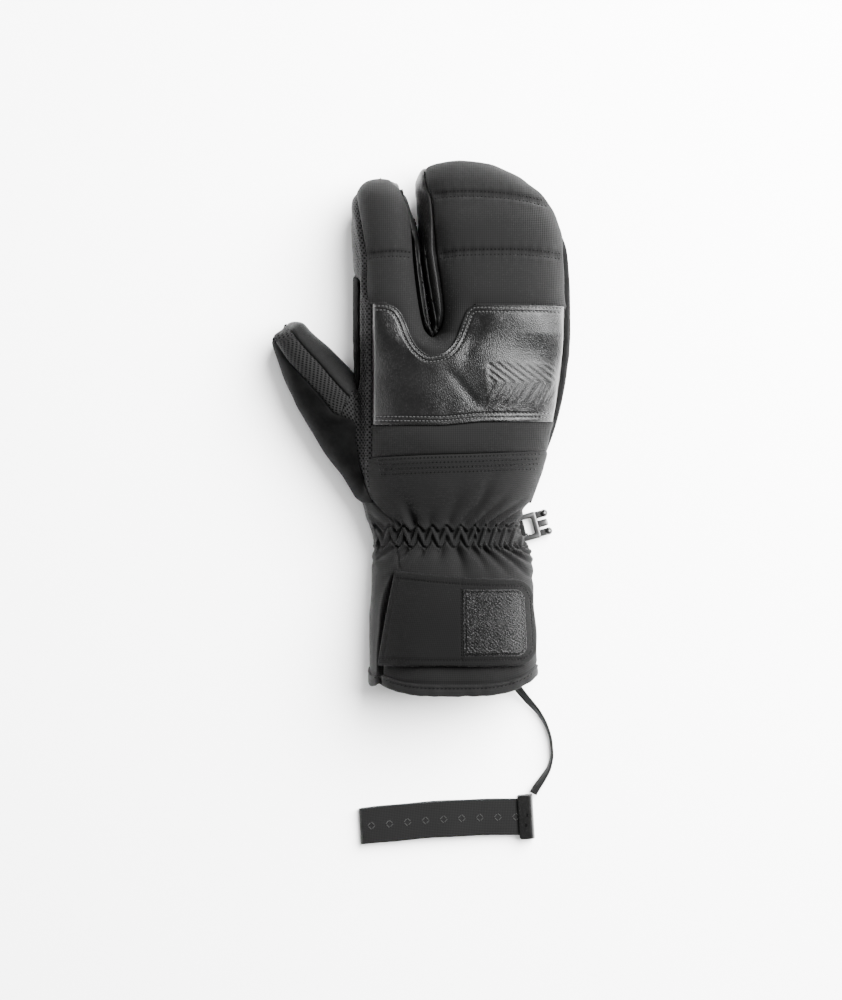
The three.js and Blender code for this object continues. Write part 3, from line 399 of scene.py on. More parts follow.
def spacing(count, low=0.0, high=1.0, ends=0.0):
    # evenly spaced shares, drawn towards both ends by the share called ends
    t = np.linspace(0, 1, count)
    return low + (high - low) * ((1 - ends) * t + ends * (0.5 - 0.5 * np.cos(np.pi * t)))


def packed(count, centre, width, gain):
    # shares whose density is 1 + gain exp(-((share - centre) / width)^2)
    share = np.linspace(0, 1, 3000)
    walk = np.cumsum(1 + gain * bell(share - centre, width))
    return np.interp(np.linspace(walk[0], walk[-1], count), walk, share)


def gridFaces(rows, columns, first):
    # the four corners of each cell of a grid
    index = first + np.arange(rows * columns).reshape(rows, columns)
    corners = (index[:-1, :-1], index[:-1, 1:], index[1:, 1:], index[1:, :-1])
    return np.stack(corners, -1).reshape(-1, 4)


def arcUV(points):
    # a grid's own lengths, in metres, across and along from its first corner
    across = np.linalg.norm(np.diff(points, axis=1), axis=2)
    along = np.linalg.norm(np.diff(points, axis=0), axis=2)
    u = np.pad(np.cumsum(across, 1), ((0, 0), (1, 0)))
    v = np.pad(np.cumsum(along.mean(1)), (1, 0))[:, None] + 0 * u
    return np.stack([u, v], -1) * 0.001


def planUV(points):
    # x and y in metres, so that a weave runs straight through a panel
    return points[..., :2] * 0.001


def buildMesh(name, grids, core=None, inward=False, weld=0.03, uvs=None):
    # Grids of points become one mesh of quads whose faces look away from the core point
    points = np.concatenate([grid.reshape(-1, 3) for grid in grids])
    uv = np.concatenate([
        (uvs[i] if uvs else arcUV(grid)).reshape(-1, 2) for i, grid in enumerate(grids)
    ])
    faces, first = [], 0
    for grid in grids:
        quads = gridFaces(grid.shape[0], grid.shape[1], first)
        corner = points[quads]
        normal = np.cross(corner[:, 2] - corner[:, 0], corner[:, 3] - corner[:, 1])
        centre = corner.mean(1)
        middle = np.array(core) if core is not None else np.append(centre.mean(0)[:2], 18.0)
        outward = (normal * (centre - middle)).sum() > 0
        faces.append(quads if outward != inward else quads[:, ::-1])
        first += grid.shape[0] * grid.shape[1]
    faces = np.concatenate(faces)
    mesh = bpy.data.meshes.new(name)
    mesh.vertices.add(len(points))
    mesh.vertices.foreach_set("co", toRow(points).astype(np.float32).ravel())
    mesh.loops.add(faces.size)
    mesh.loops.foreach_set("vertex_index", faces.astype(np.int32).ravel())
    mesh.polygons.add(len(faces))
    mesh.polygons.foreach_set("loop_start", np.arange(0, faces.size, 4, dtype=np.int32))
    mesh.update(calc_edges=True)
    layer = mesh.uv_layers.new(name="surface")
    layer.data.foreach_set("uv", uv[faces.ravel()].astype(np.float32).ravel())
    if weld:
        joined = bmesh.new()
        joined.from_mesh(mesh)
        bmesh.ops.remove_doubles(joined, verts=joined.verts, dist=weld * 0.001)
        bmesh.ops.dissolve_degenerate(joined, edges=joined.edges, dist=1e-7)
        joined.to_mesh(mesh)
        joined.free()
    mesh.shade_smooth()
    return mesh


def addObject(name, mesh, material, node=None):
    # an object at the origin that rides the body and stands for a CAD node
    piece = bpy.data.objects.new(name, mesh)
    bpy.context.scene.collection.objects.link(piece)
    mesh.materials.append(material)
    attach(piece, "root")
    if node:
        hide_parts(node)
    return piece


def meshPoints(mesh):
    # a mesh's points in the mitt's millimetres
    flat = np.zeros(len(mesh.vertices) * 3, np.float32)
    mesh.vertices.foreach_get("co", flat)
    return flat.reshape(-1, 3).astype(float) * 1000 - frameShift


def placePoints(mesh, points):
    # moves a mesh's points to places in the mitt's millimetres
    mesh.vertices.foreach_set("co", toRow(points).astype(np.float32).ravel())
    mesh.update()


def pushOut(mesh, amount):
    # moves each vertex along its normal by amount(points), in millimetres
    points = meshPoints(mesh)
    normals = np.zeros(len(points) * 3, np.float32)
    mesh.vertices.foreach_get("normal", normals)
    points = points + normals.reshape(-1, 3) * amount(points)[:, None]
    points[:, 2] = np.maximum(points[:, 2], 0.05)
    placePoints(mesh, points)


def nudge(mesh, centre, reach, shift):
    # moves the points round a plan point by shift exp(-(distance / reach)^2)
    points = meshPoints(mesh)
    far = np.hypot(points[:, 0] - centre[0], points[:, 1] - centre[1])
    placePoints(mesh, points + bell(far, reach)[:, None] * np.array(shift))


def addWall(piece, thickness):
    # the cloth's thickness, grown inwards
    wall = piece.modifiers.new("wall", "SOLIDIFY")
    wall.thickness = thickness * 0.001
    wall.offset = -1
    return wall


def seamPoints(seam, step=0.5):
    # a seam's plan points, evenly spaced
    place = "at" if "at" in seam else "along"
    y, x = seam[place] * handLength, seam["across"] * palmWidth
    walk = np.concatenate([[0], np.cumsum(np.hypot(np.diff(x), np.diff(y)))])
    places = np.arange(0, walk[-1], step)
    return np.stack([curveThrough(walk, x)(places), curveThrough(walk, y)(places)], -1)


def thumbSeamPoints(seam):
    # a thumb seam's plan points, from shares of its length and width
    along = np.linspace(seam["along"][0], seam["along"][-1], 160)
    across = curveThrough(seam["along"], seam["across"])(along)
    local = np.stack([across * thumb["width"], along * thumb["length"], 0 * along], -1)
    return thumbToPlan(local)[:, :2]


def distanceTo(points, line):
    # distance seen from above from each point to the nearest point of a line
    nearest = np.full(len(points), 1e9)
    for start in range(0, len(points), 20000):
        block = points[start:start + 20000, None, :2] - line[None]
        nearest[start:start + 20000] = np.sqrt((block**2).sum(-1).min(1))
    return nearest


def insideOf(points, shape, side):
    # a seam's points, kept inside a stall's outline and short of its tip
    points = points[points[:, 1] < shape["y"][-1] - 0.3]
    edge = sectionOf(shape, points[:, 1])[side]
    x = np.minimum(points[:, 0], edge) if side == "right" else np.maximum(points[:, 0], edge)
    return np.stack([x, points[:, 1]], -1)


def outlineOf(shape, side, start):
    # the outline's own points from y = start up to the tip
    first = np.searchsorted(shape["y"], start)
    return np.stack([shape[side][first:], shape["y"][first:]], -1)


seamLines = {
    "index": np.concatenate([insideOf(seamPoints(indexSeam), shapeA, "left"),
                             outlineOf(shapeA, "left", 192)]),
    "slot": np.concatenate([
        insideOf(seamPoints(slotLeft), shapeA, "right"), outlineOf(shapeA, "right", 198),
        insideOf(seamPoints(slotRight), shapeB, "left"), outlineOf(shapeB, "left", 206),
    ]),
    "little": np.concatenate([insideOf(seamPoints(littleSeam), shapeB, "right"),
                              outlineOf(shapeB, "right", 184)]),
    "knuckleTop": seamPoints(knuckleTop),
    "knuckleBottom": seamPoints(knuckleBottom),
    "palmEdge": seamPoints(palmEdge),
    "heel": seamPoints(heelSeam),
    "thumbInner": thumbSeamPoints(thumbInner),
}

# Camera: straight above, 1.5 m up; a pixel is 0.56 mm on the surface, as the 20 mm webbing gives
view = {"height": 1.5, "pixel": 0.56, "imageHeight": 1000, "over": (-17.6, 22.0)}
cameraData = bpy.data.cameras.new("camera")
cameraData.lens = 36 * view["height"] * 1000 / (view["pixel"] * view["imageHeight"])
cameraData.sensor_width = 36
cameraData.clip_end = 20
camera = bpy.data.objects.new("camera", cameraData)
bpy.context.scene.collection.objects.link(camera)
camera.location = Vector([*toRow([*view["over"], 0])[:2], view["height"]])
bpy.context.scene.camera = camera
print("camera placed")

# Materials. A row gives one its pattern, colour, gloss, the pattern's size and relief in mm, how
# dark its low parts are, and, if not 30 mm and 0.1, the size and share of its slow unevenness.
looks = {
    "shell_cloth": {
        "pattern": "weave", "colour": 0.037, "roughness": 0.9, "specular": 0.15,
        "weave": 1.0, "cross": 0.42, "relief": 0.14, "dark": 0.5,
    },
    "grain_leather": {
        "pattern": "grain", "colour": 0.0045, "roughness": 0.33, "specular": 0.85,
        "grain": 0.95, "relief": 0.065, "dark": 0.3,
    },
    "side_leather": {
        "pattern": "grain", "colour": 0.012, "roughness": 0.66, "specular": 0.3,
        "grain": 0.8, "relief": 0.08, "dark": 0.3,
    },
    "wall_leather": {
        "pattern": "holes", "colour": 0.012, "roughness": 0.5, "specular": 0.4,
        "holes": 2.4, "hole": 0.3, "relief": 0.12, "dark": 0.6,
    },
    "perforated_leather": {
        "pattern": "holes", "colour": 0.041, "roughness": 0.8, "specular": 0.15,
        "holes": 2.3, "hole": 0.46, "relief": 0.3, "dark": 0.95,
    },
    "suede": {
        "pattern": "nap", "colour": 0.014, "roughness": 0.95, "specular": 0.05,
        "grain": 0.7, "relief": 0.1, "dark": 0.35, "uneven": (7.0, 0.35),
    },
    "binding_cloth": {
        "pattern": "weave", "colour": 0.04, "roughness": 0.85, "specular": 0.15,
        "weave": 0.9, "cross": 0.5, "relief": 0.1, "dark": 0.35,
    },
    "strap_cloth": {
        "pattern": "weave", "colour": 0.025, "roughness": 0.85, "specular": 0.15,
        "weave": 1.0, "cross": 0.42, "relief": 0.12, "dark": 0.5,
    },
    "grip_rubber": {
        "pattern": "grain", "colour": 0.008, "roughness": 0.42, "specular": 0.6,
        "grain": 1.3, "relief": 0.26, "dark": 0.4,
    },
    "clip_plastic": {"colour": 0.008, "roughness": 0.3, "specular": 0.9},
    "webbing": {
        "pattern": "weave", "colour": 0.05, "roughness": 0.8, "specular": 0.2,
        "weave": 0.9, "cross": 0.5, "relief": 0.16, "dark": 0.5,
    },
    # dark thread, made darker still: partly the thread's own colour, partly painted shade standing in
    # for the stitch holes
    "dark_thread_and_hole_shade": {"colour": 0.004, "roughness": 0.7, "specular": 0.3},
    "pale_thread": {"colour": 0.13, "roughness": 0.5, "specular": 0.5},
    "lining": {"colour": 0.010, "roughness": 0.95, "specular": 0.1},
}


class Nodes:
    # short names for making and joining shader nodes
    def __init__(self, tree):
        self.tree = tree

    def add(self, kind, inputs=(), **settings):
        node = self.tree.nodes.new(kind)
        for key, value in settings.items():
            setattr(node, key, value)
        for key, value in dict(inputs).items():
            if isinstance(value, bpy.types.NodeSocket):
                self.tree.links.new(value, node.inputs[key])
            else:
                node.inputs[key].default_value = value
        return node

    def maths(self, operation, a, b=0.0, c=0.0):
        return self.add(
            "ShaderNodeMath", {0: a, 1: b, 2: c}, operation=operation
        ).outputs[0]

    def spread(self, value, low, high, start, end):
        # value from low..high becomes start..end, held at both ends
        inputs = {"Value": value, "From Min": low, "From Max": high, "To Min": start, "To Max": end}
        return self.add("ShaderNodeMapRange", inputs).outputs[0]


def groupTree(name, inputs, outputs):
    tree = bpy.data.node_groups.new(name, "ShaderNodeTree")
    for label, kind in inputs:
        tree.interface.new_socket(label, in_out="INPUT", socket_type=kind)
    for label in outputs:
        tree.interface.new_socket(label, in_out="OUTPUT", socket_type="NodeSocketFloat")
    nodes = Nodes(tree)
    return nodes, nodes.add("NodeGroupInput"), nodes.add("NodeGroupOutput")


def placedIn(nodes, source):
    # a vector split and divided by the size input: place in cells
    cell = nodes.add("ShaderNodeVectorMath", {0: source.outputs["Vector"]}, operation="SCALE")
    per = nodes.maths("DIVIDE", 1000.0, source.outputs["Size"])
    nodes.tree.links.new(per, cell.inputs["Scale"])
    split = nodes.add("ShaderNodeSeparateXYZ", {0: cell.outputs[0]})
    return split.outputs[0], split.outputs[1]


vectorAndSize = [("Vector", "NodeSocketVector"), ("Size", "NodeSocketFloat")]


def makeWeave():
    # Height = (1 - Cross) |sin(pi x)| + Cross |sin(pi y)|: ribs along the cloth, crossed by others
    nodes, source, result = groupTree(
        "weave", vectorAndSize + [("Cross", "NodeSocketFloat")], ["Height"]
    )
    x, y = placedIn(nodes, source)
    along = nodes.maths("ABSOLUTE", nodes.maths("SINE", nodes.maths("MULTIPLY", x, math.pi)))
    across = nodes.maths("ABSOLUTE", nodes.maths("SINE", nodes.maths("MULTIPLY", y, math.pi)))
    share = source.outputs["Cross"]
    rest = nodes.maths("MULTIPLY", along, nodes.maths("SUBTRACT", 1.0, share))
    height = nodes.maths("MULTIPLY_ADD", across, share, rest)
    nodes.tree.links.new(height, result.inputs["Height"])
    return nodes.tree


def makeHoles():
    # Mask = 1 inside a circle of radius Hole cells, in rows shifted by half a cell
    nodes, source, result = groupTree(
        "holes", vectorAndSize + [("Hole", "NodeSocketFloat")], ["Mask"]
    )
    x, y = placedIn(nodes, source)
    row = nodes.maths("DIVIDE", y, 0.62)
    shift = nodes.maths("MULTIPLY", nodes.maths("PINGPONG", nodes.maths("FLOOR", row), 1.0), 0.5)
    dx = nodes.maths("SUBTRACT", nodes.maths("FRACT", nodes.maths("ADD", x, shift)), 0.5)
    dy = nodes.maths("SUBTRACT", nodes.maths("FRACT", row), 0.5)
    dy = nodes.maths("MULTIPLY", dy, 0.62)
    far = nodes.maths("SQRT", nodes.maths("MULTIPLY_ADD", dx, dx, nodes.maths("MULTIPLY", dy, dy)))
    half = nodes.maths("MULTIPLY", source.outputs["Hole"], 0.5)
    inside = nodes.maths("DIVIDE", nodes.maths("SUBTRACT", half, far), 0.12)
    mask = nodes.add("ShaderNodeClamp", {0: nodes.maths("ADD", inside, 0.5)}).outputs[0]
    nodes.tree.links.new(mask, result.inputs["Mask"])
    return nodes.tree


def makeUneven():
    # Value = soft noise between 0 and 1, in cells of Size millimetres
    nodes, source, result = groupTree("uneven", vectorAndSize, ["Value"])
    scale = nodes.maths("DIVIDE", 1000.0, source.outputs["Size"])
    noise = nodes.add(
        "ShaderNodeTexNoise", {"Vector": source.outputs["Vector"], "Scale": scale, "Detail": 4.0}
    )
    nodes.tree.links.new(noise.outputs["Fac"], result.inputs["Value"])
    return nodes.tree


def makeGrain():
    # Height = distance to the edge of Voronoi cells, flattened on top
    nodes, source, result = groupTree("grain", vectorAndSize, ["Height"])
    scale = nodes.maths("DIVIDE", 1000.0, source.outputs["Size"])
    cells = nodes.add(
        "ShaderNodeTexVoronoi",
        {"Vector": source.outputs["Vector"], "Scale": scale},
        feature="DISTANCE_TO_EDGE",
    )
    height = nodes.spread(cells.outputs["Distance"], 0.0, 0.3, 0.0, 1.0)
    nodes.tree.links.new(height, result.inputs["Height"])
    return nodes.tree


groups = {
    "weave": makeWeave(), "holes": makeHoles(), "uneven": makeUneven(), "grain": makeGrain(),
}


def startMaterial(name):
    # a new material, its nodes and its shader
    material = bpy.data.materials.new(name)
    material.use_nodes = True
    nodes = Nodes(material.node_tree)
    shader = material.node_tree.nodes["Principled BSDF"]
    return material, nodes, shader


def useGroup(nodes, name, **inputs):
    # a node group placed in a material with its own values
    return nodes.add("ShaderNodeGroup", inputs, node_tree=groups[name]).outputs[0]


def greyOf(nodes, value):
    # one value as an even grey
    return nodes.add("ShaderNodeCombineColor", {0: value, 1: value, 2: value}).outputs[0]


def makeMaterial(name, look):
    # One recipe: the pattern's height shades and bumps it, slow noise varies colour and roughness
    material, nodes, shader = startMaterial(name)
    place = nodes.add("ShaderNodeTexCoord").outputs["Object"]
    unevenSize, unevenShare = look.get("uneven", (30.0, 0.1))
    slow = useGroup(nodes, "uneven", Vector=place, Size=unevenSize)
    colour, rough, pattern = look["colour"], look["roughness"], look.get("pattern")
    shade = nodes.spread(slow, 0.3, 0.7, 1 - unevenShare, 1 + unevenShare)
    height = None
    if pattern in ("weave", "holes"):
        surface = nodes.add("ShaderNodeUVMap", uv_map="surface").outputs[0]
    if pattern == "weave":
        height = useGroup(
            nodes, "weave", Vector=surface, Size=look["weave"], Cross=look["cross"]
        )
    elif pattern == "grain":
        height = useGroup(nodes, "grain", Vector=place, Size=look["grain"])
    elif pattern == "nap":
        height = useGroup(nodes, "uneven", Vector=place, Size=look["grain"])
    elif pattern == "holes":
        mask = useGroup(nodes, "holes", Vector=surface, Size=look["holes"], Hole=look["hole"])
        height = nodes.maths("SUBTRACT", 1.0, mask)
    if height is not None:
        shade = nodes.maths("MULTIPLY", shade, nodes.spread(height, 0.0, 1.0, 1 - look["dark"], 1.0))
        bump = nodes.add("ShaderNodeBump", {
            "Strength": 1.0, "Distance": look["relief"] * 0.001, "Height": height,
        })
        nodes.tree.links.new(bump.outputs[0], shader.inputs["Normal"])
    grey = greyOf(nodes, nodes.maths("MULTIPLY", shade, colour))
    nodes.tree.links.new(grey, shader.inputs["Base Color"])
    roughness = nodes.spread(slow, 0.25, 0.75, max(rough - 0.08, 0.05), min(rough + 0.08, 1.0))
    nodes.tree.links.new(roughness, shader.inputs["Roughness"])
    shader.inputs["Specular IOR Level"].default_value = look["specular"]
    return material


materials = {name: makeMaterial(name, look) for name, look in looks.items()}
print("materials made")


# The hand's panels
def gridOn(shape, y, start, end, share, thumbTouch=False):
    # rows at y; columns at the given shares of the way between two angles
    section = {key: value[:, None] for key, value in sectionOf(shape, y).items()}
    angle = start[:, None] + (end - start)[:, None] * share
    grid = sectionPoint(section, angle, y[:, None])
    if thumbTouch:
        upper = (np.sin(angle) > 0) & (grid[..., 0] < thumb["handUpTo"])
        joined = smoothMax(grid[..., 2], thumbZ(grid[..., 0], grid[..., 1]), thumb["fillet"])
        grid[..., 2] = np.where(upper, joined, grid[..., 2])
    return grid


def rowsOf(shape, start, count, end=None):
    # y values that follow the outline's own length, from start to the tip
    y = shape["y"]
    first = np.searchsorted(y, start)
    last = len(y) - 1 if end is None else np.searchsorted(y, end)
    rows = np.interp(np.linspace(first, last, count), np.arange(len(y)), y)
    rows[0] = start
    if end is not None:
        rows[-1] = end
    return rows


def planGrid(left, right, bottom, top, columns, rows, lift=0.0):
    # A grid over the plan: x between left(y) and right(y), y between bottom(x) and top(x)
    u, v = spacing(columns)[None], spacing(rows)[:, None]
    x = left(0 * u + 50) + u * (right(0 * u + 50) - left(0 * u + 50)) + 0 * v
    for _ in range(4):
        y = bottom(x) + v * (top(x) - bottom(x))
        x = left(y) + u * (right(y) - left(y))
    return np.stack([x, y, backZ(x, y) + lift], -1)


def linesOf(*names):
    # several seams' points as one line
    return np.concatenate([seamLines[name] for name in names])


seamPinch = 1.1  # mm that every panel is drawn in by at a seam, so that neighbours meet


def seamDip(d, width):
    # -seamPinch at the seam: half over the given width, half over 0.7 mm
    return -seamPinch * (0.5 * bell(d, width, 1.5) + 0.5 * bell(d, 0.7))


def soften(points, line, bulge, width, noise, size, seed):
    # padding: bulge between seams, pinched at them, with a little unevenness
    d = distanceTo(points, line)
    return (
        bulge * (1 - bell(d, 6))
        + seamDip(d, width)
        + noise * ripple(points, size, seed) * (1 - bell(d, 5))
    )


fingerBack = {
    "bulge": 1.1, "noise": 0.3, "thickness": 1.2, "shoulder": 130.0,  # y where the lobes start
    "quiltDip": 1.3, "pucker": 0.12, "puckerPitch": 5.2,
    "turns": ((-29.9, 125.0), (8.1, 125.4)),  # where the knuckle seam turns into the U
}
quiltLines = [
    curveThrough([-18, 5, 30, 50], [188.0, 189.4, 188.0, 185.0]),
    curveThrough([-13, 5, 30, 62], [154.3, 156.8, 157.2, 155.4]),
    curveThrough([-46, -30, -18], [155.2, 156.2, 155.4]),
]
quiltEnds = [(-13, 60), (-13, 70), (-60, -13)]


def quilting(points, fade):
    # a dip along each double row of stitches, with a sine of puckers along it
    total = np.zeros(len(points))
    for line, (low, high) in zip(quiltLines, quiltEnds):
        on = (points[:, 0] > low) & (points[:, 0] < high)
        d = np.abs(points[:, 1] - line(points[:, 0]))
        dip = bell(d, 2.0, 4) + 0.5 * bell(d, 7)
        wave = np.sin(points[:, 0] * 2 * np.pi / fingerBack["puckerPitch"] + low)
        pucker = fingerBack["pucker"] * wave * bell(d, 5)
        total += on * (pucker - fingerBack["quiltDip"] * dip)
    return total * fade


def makeFingerBack():
    # two lobes from the shoulder up, and a ribbon round the slot's U below it
    shoulder = fingerBack["shoulder"]
    grids = []
    firstRows = []
    for shape, leftX, rightX, count in (
        (shapeA, indexSeamX, slotLeftX, 66), (shapeB, slotRightX, littleSeamX, 150),
    ):
        rows = rowsOf(shape, shoulder, 110)
        section = sectionOf(shape, rows)
        start, end = angleAtX(section, leftX(rows)), angleAtX(section, rightX(rows))
        grid = gridOn(shape, rows, start, end, spacing(count))
        grids.append(grid)
        firstRows.append(grid[0])
    # The ribbon round the slot's U: its inner side is the lobes' first rows and the slot's seam
    bottom = slotLeft["at"][0] * handLength
    down = np.linspace(shoulder, bottom, 60)
    slot = np.concatenate([
        np.stack([slotLeftX(down), down], -1)[:-1],
        np.stack([slotRightX(down[::-1]), down[::-1]], -1),
    ])
    top = seamPoints(knuckleTop, 0.25)
    walk = walkOf(top)
    turns = [walk[np.argmin(np.hypot(*(top - turn).T))] for turn in fingerBack["turns"]]

    def outerPart(inner, low, high):
        step = walkOf(inner)
        place = low + (high - low) * step / step[-1]
        return np.stack([np.interp(place, walk, top[:, 0]), np.interp(place, walk, top[:, 1])], -1)

    inner = [firstRows[0][:, :2], slot, firstRows[1][:, :2]]
    spans = [(0, turns[0]), (turns[0], turns[1]), (turns[1], walk[-1])]
    for part, (low, high) in zip(inner, spans):
        outer = outerPart(part, low, high)
        away = outer - part
        away /= np.maximum(np.linalg.norm(away, axis=1), 1e-6)[:, None]
        share = spacing(26)[:, None, None]
        plan = part + share * (outer - part)
        plan = np.concatenate([plan, (outer + 0.9 * away)[None], (outer + 1.8 * away)[None]])
        height = backZ(plan[..., 0], plan[..., 1])
        height[-2:] -= np.array([[0.5], [1.0]])
        grids.append(np.concatenate([plan, height[..., None]], -1))
    mesh = buildMesh("finger_back", grids, uvs=[planUV(grid) for grid in grids])
    line = linesOf("index", "slot", "little")

    def padded(p):
        fade = 1 - bell(distanceTo(p, line), 3)
        under = distanceTo(p, seamLines["knuckleTop"])
        even = soften(p, line, fingerBack["bulge"], 2.2, fingerBack["noise"], 28, 3)
        even *= 1 - 0.8 * bell(under, 4)
        return quilting(p, fade) + even - 0.45 * bell(under, 1.5)

    pushOut(mesh, padded)
    piece = addObject("cloth_finger_back", mesh, materials["shell_cloth"], "finger_back")
    addWall(piece, fingerBack["thickness"])
    return piece


knuckle = {
    "lift": 0.55, "dents": 0.8, "thickness": 1.2, "hollow": 0.9, "fold": 0.45,
    "ribs": 0.17, "ribPitch": 4.6, "ribAt": (38.0, 86.0), "ribTurn": (0.94, 0.34),
    "topRows": (1.2, 3.4), "bottomRows": (2.2, 4.4),  # stitch rows, mm inside the two edges
}


def knuckleProfile(points):
    # Grooves under the stitch rows, dents between them, and slanting ribs in one block
    x, y = points[:, 0], points[:, 1]
    toTop = distanceTo(points, seamLines["knuckleTop"])
    toBottom = distanceTo(points, seamLines["knuckleBottom"])
    d = np.minimum(toTop, toBottom)
    hem = 0.25 * bell(d, 3.2, 4)
    for far, rows in ((toTop, knuckle["topRows"]), (toBottom, knuckle["bottomRows"])):
        for row in rows:
            hem -= 0.32 * bell(far - row, 0.55)
    field = 1 - bell(d, 9)
    creases = np.cos(2 * np.pi * (x - 2) / 11) * bell(d - 6, 4)
    calm = 0.35 + 0.65 * smoothstep(2, 18, x)  # the left half is smoother than the right
    dents = (knuckle["dents"] * calm * ripple(points, 34, 11) + 0.15 * creases) * field
    # a hollow right of the U, and a fold from it towards the panel's lower edge
    hollow = bell(x - 10 - 0.35 * (y - 110), 4.5) * smoothstep(88, 108, y)
    fold = bell(x - 6 + 0.8 * (y - 82), 3.5) * smoothstep(66, 74, y) * smoothstep(98, 86, y)
    dents -= (knuckle["hollow"] * hollow + knuckle["fold"] * fold) * field
    ribX, ribY = x - knuckle["ribAt"][0], y - knuckle["ribAt"][1]
    along = ribX * knuckle["ribTurn"][0] + ribY * knuckle["ribTurn"][1]
    block = smoothstep(17, 20, x) * smoothstep(57, 54, x)
    block *= smoothstep(74, 77, y) * smoothstep(98, 95, y)
    bent = along + 0.9 * np.abs(ribY)
    ribs = smoothstep(-0.1, 0.35, np.sin(bent * 2 * np.pi / knuckle["ribPitch"]))
    total = knuckle["lift"] + hem + dents * (1 - 0.6 * block) + knuckle["ribs"] * ribs * block
    side = bell(distanceTo(points, linesOf("index", "little")), 1.4)
    return total * (1 - side) - seamPinch * side


def makeKnucklePanel():
    # a plan grid between four seams, pushed out by knuckleProfile
    grid = planGrid(indexSeamX, littleSeamX, knuckleBottomY, knuckleTopY, 250, 120)
    mesh = buildMesh("knuckle_panel", [grid])
    pushOut(mesh, knuckleProfile)
    piece = addObject("leather_knuckle", mesh, materials["grain_leather"], "knuckle_panel")
    addWall(piece, knuckle["thickness"])
    return piece


handBackThickness = 1.2


def backSeamY(x):
    # where the gauntlet's cloth starts on the hand's back
    section = bodySection(47.0)
    middle, half = (section["left"] + section["right"]) / 2, (section["right"] - section["left"]) / 2
    q = np.clip((x - middle) / half, -1, 1)
    across = (1 + np.sign(q) * np.abs(q) ** (mitt["backPower"] / 2)) / 2
    low, high = gauntletSeamBack
    return (low + (high - low) * across) * handLength


def makeHandBack():
    # a padded band, flat towards the leather above it
    grid = planGrid(indexSeamX, littleSeamX, backSeamY, knuckleBottomY, 180, 34)
    mesh = buildMesh("hand_back", [grid], uvs=[planUV(grid)])
    line = np.concatenate([linesOf("index", "little"), backSeamLine])

    def padded(p):
        under = distanceTo(p, seamLines["knuckleBottom"])
        even = soften(p, line, 0.8, 2.0, 0.3, 20, 8) * (1 - 0.8 * bell(under, 3))
        return even - 0.4 * bell(under, 1.2)

    pushOut(mesh, padded)
    piece = addObject("cloth_hand_back", mesh, materials["shell_cloth"], "hand_back")
    addWall(piece, handBackThickness)


backX = np.linspace(-52, 56, 200)
backSeamLine = np.stack([backX, backSeamY(backX)], -1)


def indexLower(y, section):
    # where the gusset along the index finger meets the palm's leather, as an angle
    edge, heel = angleAtX(section, palmEdgeX(y)), angleAtX(section, heelSeamX(y))
    upper = np.where(y < 81.5, heel, edge)
    low = math.pi + angleAtZ(section, mitt["edgeZ"])
    share = smoothstep(143, 149, y)
    return upper * (1 - share) + low * share


gusset = {"thickness": 1.2, "bulge": 0.5}


def makeIndexSide():
    # a strip from seam to palm along the stall, and the web to the thumb
    rows = np.concatenate([np.linspace(22, 120, 150)[:-1], rowsOf(shapeA, 120, 130)])
    section = sectionOf(shapeA, rows)
    start, end = angleAtX(section, indexSeamX(rows)), indexLower(rows, section)
    strip = gridOn(shapeA, rows, start, end, spacing(26), thumbTouch=True)
    # The web between the finger and the thumb
    v = spacing(44)[:, None]
    dart = curveThrough([0, 0.1, 0.5, 1], [-61.1, -60.7, -56.5, -54.0])
    dartY = curveThrough([0, 0.1, 0.5, 1], [67.7, 70.6, 78.7, 92.4])
    right = np.concatenate([heelSeamX(64.7 + v * 27.7) + 0.1, 64.7 + v * 27.7], -1)
    left = np.concatenate([dart(v), dartY(v)], -1)
    plan = right[:, None] + spacing(18)[None, :, None] * (left - right)[:, None]
    web = np.concatenate([plan, backZ(plan[..., 0], plan[..., 1])[..., None]], -1)
    mesh = buildMesh("index_side", [strip, web])
    line = linesOf("index", "heel", "palmEdge", "thumbInner")

    def folded(p):
        d = distanceTo(p, seamLines["index"])
        fold = 0.35 * bell(d - 1.9, 1.0) - 0.35 * bell(d - 3.7, 0.6)
        return fold + soften(p, line, gusset["bulge"], 1.5, 0.2, 15, 2)

    pushOut(mesh, folded)
    piece = addObject("gusset_index", mesh, materials["perforated_leather"], "index_side")
    addWall(piece, gusset["thickness"])


fourchette = {
    "thickness": 0.9, "roll": 0.8, "drop": 2.4, "fold": 0.8, "foldAt": 118.0,
    "apart": 0.12, "partsOver": (156.0, 182.0),  # mm between a wall and the cleft; y where they part
}


def cleftX(y):
    # the line down the middle of the slot
    return (sectionOf(shapeA, y)["right"] + sectionOf(shapeB, y)["left"]) / 2


